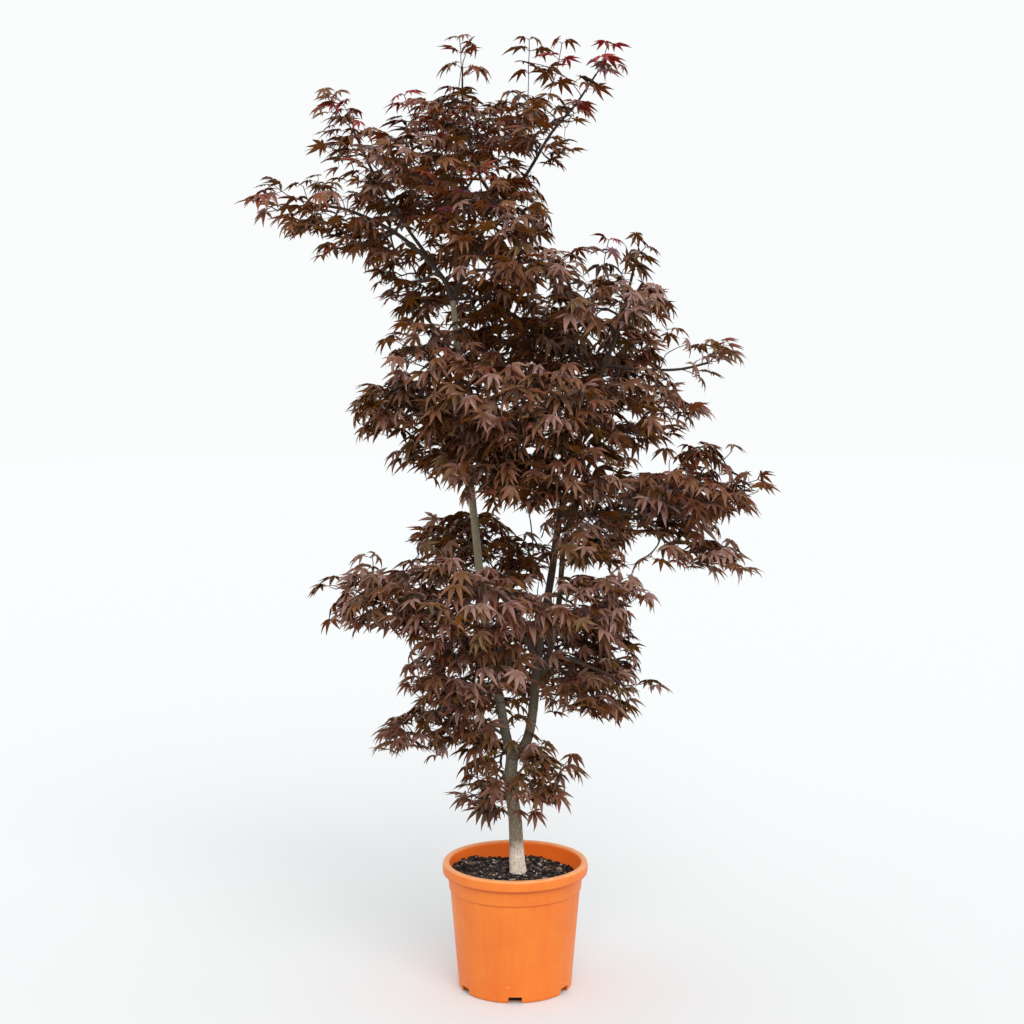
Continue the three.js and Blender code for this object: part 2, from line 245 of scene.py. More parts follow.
def times(nt, a, k):
    m = nt.nodes.new("ShaderNodeMath")
    m.operation = "MULTIPLY"
    nt.links.new(a, m.inputs[0])
    if hasattr(k, "is_linked"):
        nt.links.new(k, m.inputs[1])
    else:
        m.inputs[1].default_value = k
    return m.outputs[0]


def plastic_material(name="pot_plastic", inside=False):
    """Moulded orange plastic: faint flow streaks, a painted highlight on the lip, painted shade in the grooves, scuffs
    low on the wall.
    """
    m, nt, p = new_material(name)
    v = object_coords(nt)
    sep = nt.nodes.new("ShaderNodeSeparateXYZ")
    nt.links.new(v, sep.inputs[0])
    z = sep.outputs["Z"]
    broad = noise(nt, v, 9.0, 3.0)
    if inside:
        # painted light: the inside is a brighter, more saturated orange than the outside, standing in for light coming
        # through the thin wall
        base = ramp(nt, [(0.35, srgb(255, 112, 26)), (0.65, srgb(255, 124, 34))], broad).outputs[0]
    else:
        base = ramp(nt, [(0.35, srgb(226, 114, 30)), (0.65, srgb(233, 125, 38))], broad).outputs[0]
    tall = object_coords(nt, (60, 60, 4))
    streak = noise(nt, tall, 1.0, 3.0, 0.7)
    if not inside:
        base = mix_colour(nt, ramp(nt, [(0.45, (0, 0, 0, 1)), (0.75, (0.35, 0.35, 0.35, 1))], streak).outputs[0], base, srgb(226, 100, 24))
        grit = noise(nt, v, 150.0, 3.0, 0.75)
        speck = ramp(nt, [(0.70, (0, 0, 0, 1)), (0.76, (0.55, 0.55, 0.55, 1))], grit).outputs[0]
        base = mix_colour(nt, speck, base, srgb(208, 84, 26))
        # painted shade: darker bands under the collar and along the foot of the band
        for lo, hi, soft, k in ((POT_H - COLLAR - 0.0052, POT_H - COLLAR + 0.0020, 0.0016, 0.62), (POT_H - BAND - 0.0022, POT_H - BAND + 0.0004, 0.0008, 0.55)):
            base = mix_colour(nt, times(nt, band_of(nt, z, lo, hi, soft), k), base, srgb(186, 66, 14))
        scuff = noise(nt, object_coords(nt, (1, 1, 3)), 38.0, 2.0, 0.5)
        pale = ramp(nt, [(0.70, (0, 0, 0, 1)), (0.80, (0.5, 0.5, 0.5, 1))], scuff).outputs[0]
        low = band_of(nt, z, 0.004, 0.055, 0.02)
        base = mix_colour(nt, times(nt, pale, low), base, srgb(252, 186, 136))
        dust = noise(nt, v, 520.0, 3.0, 0.85)
        dots = ramp(nt, [(0.735, (0, 0, 0, 1)), (0.765, (0.85, 0.85, 0.85, 1))], dust).outputs[0]
        near = ramp(nt, [(0.55, (0, 0, 0, 1)), (0.70, (1, 1, 1, 1))], noise(nt, v, 17.0, 1.0)).outputs[0]
        base = mix_colour(nt, times(nt, dots, near), base, srgb(96, 44, 22))
    # painted highlight along the top of the lip, broken into patches
    highlight_patches = ramp(nt, [(0.30, (0.45, 0.45, 0.45, 1)), (0.65, (1, 1, 1, 1))], noise(nt, v, 60.0, 4.0, 0.7)).outputs[0]
    lip_highlight = times(nt, band_of(nt, z, POT_H - 0.0030, POT_H + 0.01, 0.0016), highlight_patches)
    base = mix_colour(nt, times(nt, lip_highlight, 0.70), base, srgb(252, 188, 126))
    nt.links.new(base, p.inputs["Base Color"])
    rough = ramp(nt, [(0.3, (0.38, 0.38, 0.38, 1)), (0.7, (0.52, 0.52, 0.52, 1))], noise(nt, v, 30.0, 4.0)).outputs[0]
    nt.links.new(rough, p.inputs["Roughness"])
    nt.links.new(bump(nt, noise(nt, v, 420.0, 2.0), 0.10, 0.0006), p.inputs["Normal"])
    p.inputs["IOR"].default_value = 1.45
    if inside:                                        # painted glow: the inside emits a little orange light, standing in for light coming through the thin wall
        p.inputs["Emission Color"].default_value = srgb(255, 112, 52)
        p.inputs["Emission Strength"].default_value = 0.10
    return m


def compost_material():
    m, nt, p = new_material("dark_compost")
    v = object_coords(nt)
    clods = noise(nt, v, 70.0, 6.0, 0.7)
    base = ramp(nt, [(0.30, srgb(10, 7, 6)), (0.52, srgb(24, 17, 14)), (0.70, srgb(44, 33, 28)), (0.86, srgb(84, 68, 58))], clods).outputs[0]
    flecks = noise(nt, v, 310.0, 3.0, 0.8)
    base = mix_colour(nt, ramp(nt, [(0.70, (0, 0, 0, 1)), (0.78, (0.8, 0.8, 0.8, 1))], flecks).outputs[0], base, srgb(140, 120, 108))
    nt.links.new(base, p.inputs["Base Color"])
    p.inputs["Roughness"].default_value = 0.95
    p.inputs["Specular IOR Level"].default_value = 0.25
    n1 = bump(nt, clods, 0.7, 0.004)
    nt.links.new(bump(nt, noise(nt, v, 520.0, 4.0, 0.8), 0.6, 0.0012, n1), p.inputs["Normal"])
    return m


def bark_material(name, low, high, speck_dark, speck_pale, z0, z1, speck=0.5):
    """Smooth young bark: a base colour that changes with height, with fine dark and pale specks."""
    m, nt, p = new_material(name)
    v = object_coords(nt)
    sep = nt.nodes.new("ShaderNodeSeparateXYZ")
    nt.links.new(v, sep.inputs[0])
    warped = nt.nodes.new("ShaderNodeMath")
    warped.operation = "MULTIPLY_ADD"
    nt.links.new(noise(nt, v, 28.0, 3.0), warped.inputs[0])
    warped.inputs[1].default_value = 0.09
    nt.links.new(sep.outputs["Z"], warped.inputs[2])
    mr = nt.nodes.new("ShaderNodeMapRange")
    mr.inputs["From Min"].default_value = z0
    mr.inputs["From Max"].default_value = z1
    nt.links.new(warped.outputs[0], mr.inputs["Value"])
    base = mix_colour(nt, mr.outputs["Result"], srgb(*low), srgb(*high))
    tall = object_coords(nt, (1, 1, 0.62))
    dark = ramp(nt, [(0.50, (0, 0, 0, 1)), (0.60, (speck, speck, speck, 1))], noise(nt, tall, 300.0, 4.0, 0.78)).outputs[0]
    base = mix_colour(nt, dark, base, srgb(*speck_dark))
    pale = ramp(nt, [(0.60, (0, 0, 0, 1)), (0.68, (0.75, 0.75, 0.75, 1))], noise(nt, v, 330.0, 3.0, 0.7)).outputs[0]
    base = mix_colour(nt, pale, base, srgb(*speck_pale))
    nt.links.new(base, p.inputs["Base Color"])
    p.inputs["Roughness"].default_value = 0.82
    p.inputs["Specular IOR Level"].default_value = 0.3
    nt.links.new(bump(nt, noise(nt, tall, 260.0, 4.0, 0.7), 0.45, 0.0008), p.inputs["Normal"])
    return m


def chip_material(name, a, b):
    m, nt, p = new_material(name)
    v = object_coords(nt)
    nt.links.new(ramp(nt, [(0.35, srgb(*a)), (0.65, srgb(*b))], noise(nt, v, 190.0, 3.0)).outputs[0], p.inputs["Base Color"])
    p.inputs["Roughness"].default_value = 0.85
    return m


def twig_material():
    m, nt, p = new_material("twig_bark")
    v = object_coords(nt)
    base = ramp(nt, [(0.3, srgb(52, 36, 34)), (0.55, srgb(74, 52, 46)), (0.8, srgb(96, 78, 66))], noise(nt, v, 120.0, 4.0)).outputs[0]
    nt.links.new(base, p.inputs["Base Color"])
    p.inputs["Roughness"].default_value = 0.7
    nt.links.new(bump(nt, noise(nt, v, 500.0, 2.0), 0.3, 0.0004), p.inputs["Normal"])
    return m


# ------------------------------------------------------------------ camera, floor and light

cam_data = bpy.data.cameras.new("camera")
cam_data.lens = 63.28
cam_data.sensor_width = 36
cam_data.clip_end = 100
cam = bpy.data.objects.new("camera", cam_data)
cam.location = (-0.006, -3.410, 1.296)
cam.rotation_euler = (math.radians(90 - 6.15), 0, 0)
scene.collection.objects.link(cam)
scene.camera = cam

scene.view_settings.view_transform = "Standard"
scene.view_settings.look = "None"
scene.view_settings.exposure = 0.0

world = bpy.data.worlds.new("studio")
world.use_nodes = True
world.node_tree.nodes["Background"].inputs["Color"].default_value = (0.956, 0.972, 0.978, 1)
world.node_tree.nodes["Background"].inputs["Strength"].default_value = 1.0
scene.world = world


def sun(name, strength, direction, angle, colour=(1, 1, 1)):
    d = bpy.data.lights.new(name, "SUN")
    d.energy = strength
    d.angle = math.radians(angle)
    d.color = colour
    ob = bpy.data.objects.new(name, d)
    ob.rotation_euler = Vector(direction).to_track_quat("-Z", "Y").to_euler()
    scene.collection.objects.link(ob)


sun("key", 1.30, (-0.26, 0.88, -0.75), 48, (1.0, 0.985, 0.965))

floor_me = bpy.data.meshes.new("floor")
ring = [(14 * math.cos(TAU * i / 96), 14 * math.sin(TAU * i / 96), 0.0) for i in range(96)]
floor_me.from_pydata(ring, [], [list(range(96))])
floor = bpy.data.objects.new("floor", floor_me)
scene.collection.objects.link(floor)
fm, fnt, fp = new_material("floor_pale")
fp.inputs["Base Color"].default_value = (0.790, 0.800, 0.806, 1)
fp.inputs["Roughness"].default_value = 0.9
fp.inputs["Specular IOR Level"].default_value = 0.0
floor_me.materials.append(fm)

# ------------------------------------------------------------------ the pot


def turned(profile, sides, wobble_radius=None):
    """The vertices of a closed profile of radius and height, turned about Z, as an array of sides by profile points."""
    pts = np.asarray(profile, float)
    ang = np.arange(sides) * TAU / sides
    n = len(pts)
    verts = np.zeros((sides, n, 3))
    for k, a in enumerate(ang):
        r = pts[:, 0].copy()
        if wobble_radius is not None:
            r = r + wobble_radius(a, pts[:, 1], pts[:, 0])
        verts[k, :, 0] = r * math.cos(a)
        verts[k, :, 1] = r * math.sin(a)
        verts[k, :, 2] = pts[:, 1]
    return verts


def rounded(points, steps=4):
    """A polyline with each corner (x, y, radius) rounded."""
    out = []
    n = len(points)
    for i, (x, y, r) in enumerate(points):
        p = np.array([x, y])
        if r <= 0 or i in (0, n - 1):
            out.append(p)
            continue
        a = np.array(points[i - 1][:2]) - p
        b = np.array(points[i + 1][:2]) - p
        la, lb = np.linalg.norm(a), np.linalg.norm(b)
        cut = min(r, 0.48 * la, 0.48 * lb)
        p0, p2 = p + a / la * cut, p + b / lb * cut
        for k in range(steps + 1):
            t = k / steps
            out.append((1 - t) ** 2 * p0 + 2 * t * (1 - t) * p + t ** 2 * p2)
    return np.array(out)


def wall_radius(z):
    if z >= BAND_FOOT:
        return BAND_FOOT_R + (BAND_TOP_R - BAND_FOOT_R) * (z - BAND_FOOT) / (BAND - COLLAR)
    return BASE_R + (BODY_TOP - BASE_R) * z / BAND_FOOT


def inner_radius(z):
    """The inside of the wall, smallest just under the step at the foot of the band."""
    z = np.asarray(z, float)
    body = BASE_R + (BODY_TOP - BASE_R) * np.minimum(z, BAND_FOOT) / BAND_FOOT
    band = BAND_FOOT_R + (BAND_TOP_R - BAND_FOOT_R) * (z - BAND_FOOT) / (BAND - COLLAR)
    blend = np.clip((z - BAND_FOOT - 0.001) / 0.008, 0, 1)
    return body * (1 - blend) + band * blend - WALL


def build_pot():
    sides = 240
    c = POT_H - COLLAR
    outer = rounded([
        (0.0, 0.0, 0),
        (BASE_R + 0.0002, 0.0, 0.0062),
        (wall_radius(0.012), 0.012, 0),
        (wall_radius(0.05), 0.05, 0), (wall_radius(0.09), 0.09, 0), (wall_radius(0.13), 0.13, 0), (wall_radius(0.16), 0.16, 0),
        (wall_radius(BAND_FOOT - 0.012), BAND_FOOT - 0.012, 0),
        (wall_radius(BAND_FOOT - 0.003), BAND_FOOT - 0.003, 0.0015),
        (BAND_FOOT_R, BAND_FOOT, 0.0014),
        (wall_radius(c + 0.004), c + 0.004, 0.0),
        (RIM_R - 0.0030, c + 0.004, 0.0),
        (RIM_R - 0.0030, c, 0.0006),
        (RIM_R - 0.0006, c, 0.0009),
        (RIM_R, POT_H - 0.006, 0.0030),
        (RIM_R - 0.0022, POT_H, 0.0030),
        (0.1284, POT_H - 0.0006, 0.0026),
        (0.1276, POT_H - 0.006, 0.0020),
        (float(inner_radius(c)), c, 0.004),
        (float(inner_radius(0.206)), 0.206, 0.001), (float(inner_radius(0.196)), 0.196, 0.001),
        (float(inner_radius(0.12)), 0.12, 0), (float(inner_radius(0.05)), 0.05, 0), (float(inner_radius(0.02)), 0.02, 0),
        (float(inner_radius(0.004)), 0.0032, 0.002),
        (0.0, 0.0032, 0),
    ], 5)
    # extra rows where the notches and the flutes are
    rows = [outer[0]]
    for p in outer[1:]:
        q = rows[-1]
        d = np.linalg.norm(p - q)
        z_hi = max(p[1], q[1])
        step = 0.0040 if z_hi < 0.02 and max(p[0], q[0]) > 0.09 else (0.008 if z_hi > 0.16 and z_hi < BAND_FOOT + 0.002 else 0.04)
        n = max(1, int(math.ceil(d / step)))
        for k in range(1, n + 1):
            rows.append(q + (p - q) * k / n)
    rows = np.array(rows)

    flutes = 24

    def relief(a, z, r):
        """Shallow upright panels whose rounded heads meet the plain band, fading towards the foot."""
        out = np.zeros(len(z))
        u = (a * flutes / TAU) % 1.0
        valley = np.exp(-((min(u, 1 - u)) / 0.13) ** 2)
        head = BAND_FOOT - 0.004 - 0.009 * (2 * abs(u - 0.5)) ** 3
        top = 1 / (1 + np.exp((z - head) / 0.0012))
        fade = np.clip((z - 0.03) / 0.14, 0, 1) ** 1.4
        on = (z > 0.012) & (z < BAND_FOOT + 0.001)
        out[on] += (-0.00115 * valley * fade[on] * top[on])
        panel = (z > BAND_FOOT - 0.016) & (z < BAND_FOOT - 0.001)
        out[panel] += -0.0014 * (1 - top[panel])
        out += 0.00035 * np.sin(2 * a + 0.7) + 0.00022 * np.sin(3 * a + 2.0)
        return np.where(r > 0.02, out, 0)

    v = turned(rows, sides, relief)
    n = len(rows)
    # the two ends of the profile sit on the axis: one vertex each
    verts = v[:, 1:-1].reshape(-1, 3)
    m = n - 2
    bottom, top = len(verts), len(verts) + 1
    verts = np.vstack([verts, [0, 0, rows[0][1]], [0, 0, rows[-1][1]]])
    faces = []
    for k in range(sides):
        a, b = k * m, ((k + 1) % sides) * m
        faces.append([bottom, b, a])
        for j in range(m - 1):
            faces.append([a + j, b + j, b + j + 1, a + j + 1])
        faces.append([top, a + m - 1, b + m - 1])
    inner_from = next(i for i in range(n) if rows[i][1] > POT_H - 0.012 and rows[i][0] < 0.1290)
    slots = []
    for k in range(sides):
        slots += [0] + [1 if j + 1 >= inner_from else 0 for j in range(m - 1)] + [1]
    pot = mesh_object("pot_shell", verts, faces, [plastic_material(), plastic_material("pot_plastic_inside", True)], slots=slots, replaces=("pot",))
    # the drainage notches
    cutters = []
    for i in range(6):
        h, w = 0.013, 0.013
        prof = rounded([(-w, -0.004, 0), (w, -0.004, 0), (w, h, 0.0022), (-w, h, 0.0022), (-w, -0.004, 0)], 4)[:-1]
        k = len(prof)
        pv = [(x, -0.0935, z) for x, z in prof] + [(x, -0.125, z) for x, z in prof]
        pf = [list(range(k))[::-1], list(range(k, 2 * k))] + [[j, (j + 1) % k, (j + 1) % k + k, j + k] for j in range(k)]
        a = i * TAU / 6
        pv = [(x * math.cos(a) - y * math.sin(a), x * math.sin(a) + y * math.cos(a), z) for x, y, z in pv]
        base = len(cutters and cutters[0]) if cutters else 0
        if not cutters:
            cutters = [[], []]
            base = 0
        else:
            base = len(cutters[0])
        cutters[0] += pv
        cutters[1] += [[q + base for q in f] for f in pf]
    me = bpy.data.meshes.new("notches")
    me.from_pydata(cutters[0], [], cutters[1])
    me.update()
    tool = bpy.data.objects.new("notches", me)
    scene.collection.objects.link(tool)
    mod = pot.modifiers.new("cut", "BOOLEAN")
    mod.operation = "DIFFERENCE"
    mod.object = tool
    mod.solver = "EXACT"
    bpy.context.view_layer.objects.active = pot
    with bpy.context.temp_override(object=pot, active_object=pot, selected_objects=[pot]):
        bpy.ops.object.modifier_apply(modifier="cut")
    bpy.data.objects.remove(tool)
    pot.data.polygons.foreach_set("use_smooth", np.ones(len(pot.data.polygons), bool))
    pot.data.set_sharp_from_angle(angle=math.radians(38))
    return pot


build_pot()


def compost_height(x, y):
    """The crumbly surface of the compost."""
    x, y = np.asarray(x, float), np.asarray(y, float)
    r = np.hypot(x, y)
    p = np.stack([x, y, 0 * x], -1)
    z = 0.2190 - 0.007 * (r / 0.128) ** 2
    z += 0.0044 * wobble(p, 34, 3, 2) + 0.0032 * wobble(p, 95, 4, 2) + 0.0012 * wobble(p, 260, 5, 2)
    z += 0.011 * np.exp(-((x + 0.070) / 0.050) ** 2 - ((y - 0.060) / 0.055) ** 2)
    z += 0.006 * np.exp(-((x - 0.035) / 0.035) ** 2 - ((y - 0.085) / 0.04) ** 2)
    z += 0.010 * np.exp(-((x + 0.104) / 0.036) ** 2 - ((y - 0.020) / 0.055) ** 2)
    foot = np.exp(-(r / 0.036) ** 2)
    return z * (1 - foot) + foot * (0.2262 + 0.0009 * wobble(p, 160, 6, 2))


def build_compost():
    sides, rings = 176, 74
    rim = float(inner_radius(0.209)) - 0.0006
    rad = rim * (np.arange(1, rings + 1) / rings)
    ang = np.arange(sides) * TAU / sides
    R, A = np.meshgrid(rad, ang, indexing="ij")
    jit = np.random.default_rng(9).uniform(-0.5, 0.5, R.shape) * rim / rings
    jit[-1] = 0
    R = R + 0.7 * jit
    X, Y = R * np.cos(A), R * np.sin(A)
    Z = compost_height(X.ravel(), Y.ravel()).reshape(X.shape)
    grain = np.random.default_rng(10).normal(size=Z.shape) * 0.0009
    grain[-1] = 0
    Z = Z + grain
    verts = [np.stack([X, Y, Z], -1).reshape(-1, 3)]
    # down the wall and across the floor
    low = []
    for z in (0.197, 0.15, 0.08, 0.0045):
        r = float(inner_radius(z)) - 0.0014 - (0.004 if z < 0.01 else 0)
        low.append(np.stack([r * np.cos(ang), r * np.sin(ang), np.full(sides, z)], -1))
    verts += low
    verts.append(np.array([[0, 0, float(compost_height(np.array([0.0]), np.array([0.0]))[0])], [0, 0, 0.0045]]))
    verts = np.vstack(verts)
    faces = []
    total = rings + 4
    c0, c1 = sides * total, sides * total + 1
    for k in range(sides):
        k2 = (k + 1) % sides
        faces.append([c0, k, k2])
        for j in range(total - 1):
            a, b = j * sides, (j + 1) * sides
            faces.append([a + k, b + k, b + k2, a + k2])
        last = (total - 1) * sides
        faces.append([c1, last + k2, last + k])
    mesh_object("compost_surface", verts, faces, [compost_material()], replaces=("compost",))

    # chips of bark, grit and crumbs lying on it
    r = np.random.default_rng(21)

    def scatter(name, count, size, aspect, mats, lift, seed, spread=0.118):
        r = np.random.default_rng(seed)
        V, F, S = [], [], []
        base = 0
        cube = np.array([[x, y, z] for x in (-1, 1) for y in (-1, 1) for z in (-1, 1)], float)
        quads = np.array([[0, 1, 3, 2], [4, 6, 7, 5], [0, 4, 5, 1], [2, 3, 7, 6], [0, 2, 6, 4], [1, 5, 7, 3]])
        for i in range(count):
            rr = spread * math.sqrt(r.uniform(0.03, 1))
            a = r.uniform(0, TAU)
            x, y = rr * math.cos(a), rr * math.sin(a)
            s = size * r.uniform(0.5, 1.5)
            dims = np.array([s * aspect[0] * r.uniform(0.7, 1.4), s * aspect[1] * r.uniform(0.7, 1.3), s * aspect[2] * r.uniform(0.7, 1.3)]) / 2
            body = cube * (1 + r.uniform(-0.35, 0.25, cube.shape)) * dims
            az, tilt = r.uniform(0, TAU), r.normal(0, 0.35)
            ca, sa, ct, st = math.cos(az), math.sin(az), math.cos(tilt), math.sin(tilt)
            rot = np.array([[ca, -sa, 0], [sa, ca, 0], [0, 0, 1]]) @ np.array([[ct, 0, st], [0, 1, 0], [-st, 0, ct]])
            z = float(compost_height(np.array([x]), np.array([y]))[0])
            V.append(body @ rot.T + [x, y, z + lift * s])
            F.append(quads + base)
            S += [int(r.integers(len(mats)))] * 6
            base += 8
        mesh_object(name, np.vstack(V), np.vstack(F), mats, slots=S, smooth=False)

    dark = chip_material("chip_dark", (18, 13, 11), (46, 34, 29))
    brown = chip_material("chip_brown", (70, 52, 42), (102, 80, 66))
    pale = chip_material("chip_pale", (146, 122, 98), (182, 160, 138))
    grit = chip_material("grit_grey", (168, 162, 160), (224, 218, 214))
    scatter("compost_crumbs", 1600, 0.0045, (1, 1, 0.8), [dark, dark, dark, dark, dark, brown], 0.15, 31, 0.124)
    scatter("compost_chips", 130, 0.0055, (1.5, 0.6, 0.28), [brown, pale, brown], 0.30, 32)
    scatter("compost_grit", 190, 0.0028, (1, 1, 0.9), [grit, pale], 0.35, 33)
    scatter("compost_fibres", 70, 0.010, (1.5, 0.10, 0.10), [pale, brown], 0.20, 34)


build_compost()

# ------------------------------------------------------------------ limbs: the same centre lines as the CAD

LIMBS = [
    ("trunk", [(3.5, 0, 217.5), (3, 0, 241.5), (0, 0, 327), (-9, 2, 405), (-6, 5, 448)], 13.6, 12.2, 4.8),
    ("left_stem", [(-6, 5, 448), (-19, 3, 501), (-33, -3, 584), (-55, -12, 703), (-77, -22, 914), (-97, -15, 1105), (-117, 0, 1330)], 9.6, 5.2, 0),
    ("right_stem", [(-6, 5, 448), (21, 4, 480), (33, 2, 532), (38, 0, 586), (42, -10, 648), (68, -25, 805), (85, -30, 926), (122, -25, 1068), (160, -15, 1180), (198, -5, 1292), (232, 0, 1425)], 10, 2.2, 0),
    ("right_back_stem", [(38, 0, 586), (57, 12, 622), (83, 35, 734), (96, 60, 860), (124, 88, 960), (166, 112, 1059), (200, 130, 1160)], 6.6, 3, 0),
    ("leader", [(-117, 0, 1330), (-80, 8, 1423), (-29, 14, 1507), (18, 12, 1560), (69, 0, 1641), (112, -8, 1690), (150, -15, 1745)], 5, 1.8, 0),
    ("left_leader", [(-29, 14, 1507), (-66, 6, 1560), (-84, 0, 1620), (-97, 0, 1690), (-98, 0, 1760)], 3.4, 1.5, 0),
    ("arm_bough", [(-117, 0, 1330), (-136, -5, 1371), (-215, -15, 1448), (-307, -20, 1494), (-360, -20, 1505)], 4.6, 2.6, 0),
    ("shoulder_bough", [(-150, -6, 1392), (-205, -2, 1468), (-262, 0, 1560), (-300, 2, 1640)], 3.4, 2.2, 0),
    ("upper_back_bough", [(-74, 9, 1430), (-84, 60, 1480), (-105, 130, 1525)], 3.4, 2.4, 0),
    ("right_wing_bough", [(170, -12, 1208), (240, -12, 1200), (310, -6, 1200), (365, 0, 1212)], 3.4, 2.2, 0),
    ("left_pad_bough", [(-86, -19, 1010), (-130, -20, 1075), (-190, -20, 1125)], 3.8, 2.6, 0),
    ("right_low_bough", [(76, -28, 860), (160, -24, 905), (250, -14, 950), (330, -10, 980)], 4.4, 2.8, 0),
    ("left_arm_bough", [(-44, -7, 640), (-110, -30, 705), (-190, -58, 755), (-270, -78, 775)], 4, 2.4, 0),
    ("front_pad_bough", [(100, -28, 990), (92, -70, 1060), (72, -120, 1115), (50, -155, 1160)], 3.8, 2.6, 0),
    ("back_skirt_bough", [(62, 16, 630), (68, 60, 650), (62, 110, 655), (55, 150, 645)], 3.6, 2.6, 0),
    ("front_bough", [(42, -10, 648), (15, -65, 700), (-20, -125, 745), (-50, -175, 770)], 4, 2.6, 0),
    ("right_skirt_bough", [(40, -8, 640), (90, -16, 650), (150, -20, 630), (185, -20, 615)], 3.6, 2.4, 0),
    ("left_foot_bough", [(-17, 3, 492), (-60, -4, 518), (-115, -14, 520), (-170, -20, 500)], 3.2, 2.2, 0),
]


def smooth_path(points, n):
    """A centripetal Catmull-Rom curve through the points, at n + 1 even steps of length."""
    p = np.asarray(points, float) * 0.001
    ends = np.vstack([2 * p[0] - p[1], p, 2 * p[-1] - p[-2]])
    fine = []
    for i in range(len(p) - 1):
        a, b, c, d = ends[i:i + 4]
        dt0, dt1, dt2 = (np.linalg.norm(b - a) ** 0.5, np.linalg.norm(c - b) ** 0.5, np.linalg.norm(d - c) ** 0.5)
        t1 = ((b - a) / dt0 - (c - a) / (dt0 + dt1) + (c - b) / dt1) * dt1
        t2 = ((c - b) / dt1 - (d - b) / (dt1 + dt2) + (d - c) / dt2) * dt1
        t = np.linspace(0, 1, 40, endpoint=False)[:, None]
        fine.append(b + t1 * t + (-3 * b + 3 * c - 2 * t1 - t2) * t ** 2 + (2 * b - 2 * c + t1 + t2) * t ** 3)
    fine = np.vstack(fine + [p[-1:]])
    s = np.concatenate([[0], np.cumsum(np.linalg.norm(np.diff(fine, axis=0), axis=1))])
    want = np.linspace(0, s[-1], n + 1)
    return np.stack([np.interp(want, s, fine[:, k]) for k in range(3)], -1), s[-1]


def carried_frames(path):
    """Two axes across the path at each point, turned as little as possible along it."""
    t = np.gradient(path, axis=0)
    t = unit(t)
    ref = np.array([1.0, 0, 0]) if abs(t[0][0]) < 0.8 else np.array([0, 1.0, 0])
    n = unit(ref - t[0] * (ref @ t[0]))
    N = [n]
    for i in range(1, len(path)):
        n = unit(N[-1] - t[i] * (N[-1] @ t[i]))
        N.append(n)
    N = np.array(N)
    return t, N, np.cross(t, N)


class Tubes:
    """Collects closed tubes into one mesh."""

    def __init__(self):
        self.V, self.F, self.S, self.n = [], [], [], 0

    def add(self, path, radii, sides, slot=0, profile=None, caps=True):
        t, N, B = carried_frames(path)
        ang = np.arange(sides) * TAU / sides
        ca, sa = np.cos(ang), np.sin(ang)
        r = np.asarray(radii)[:, None] * np.ones((1, sides))
        if profile is not None:
            r = r + profile(path, ang)
        ring = path[:, None, :] + r[..., None] * (N[:, None, :] * ca[None, :, None] + B[:, None, :] * sa[None, :, None])
        m = len(path)
        tip = path[-1] + t[-1] * radii[-1] * 0.6
        v = np.vstack([ring.reshape(-1, 3), path[0][None], tip[None]])
        i, k = np.meshgrid(np.arange(m - 1), np.arange(sides), indexing="ij")
        k2 = (k + 1) % sides
        a, b, c, d = i * sides + k, i * sides + k2, (i + 1) * sides + k2, (i + 1) * sides + k
        f = np.concatenate([np.stack([a, b, c], -1).reshape(-1, 3), np.stack([a, c, d], -1).reshape(-1, 3)])
        kk = np.arange(sides)
        foot = np.stack([np.full(sides, m * sides), (kk + 1) % sides, kk], -1)
        head = np.stack([np.full(sides, m * sides + 1), (m - 1) * sides + kk, (m - 1) * sides + (kk + 1) % sides], -1)
        f = np.concatenate([f, foot, head])
        self.V.append(v)
        self.F.append(f + self.n)
        self.S.append(np.full(len(f), slot))
        self.n += len(v)

    def build(self, name, mats, replaces=()):
        return mesh_object(name, np.vstack(self.V), np.vstack(self.F), mats, slots=np.concatenate(self.S), replaces=replaces)


limb_nodes = []       # (position, tangent, radius, limb name) along every limb, for twigs to leave from
limb_line = {}


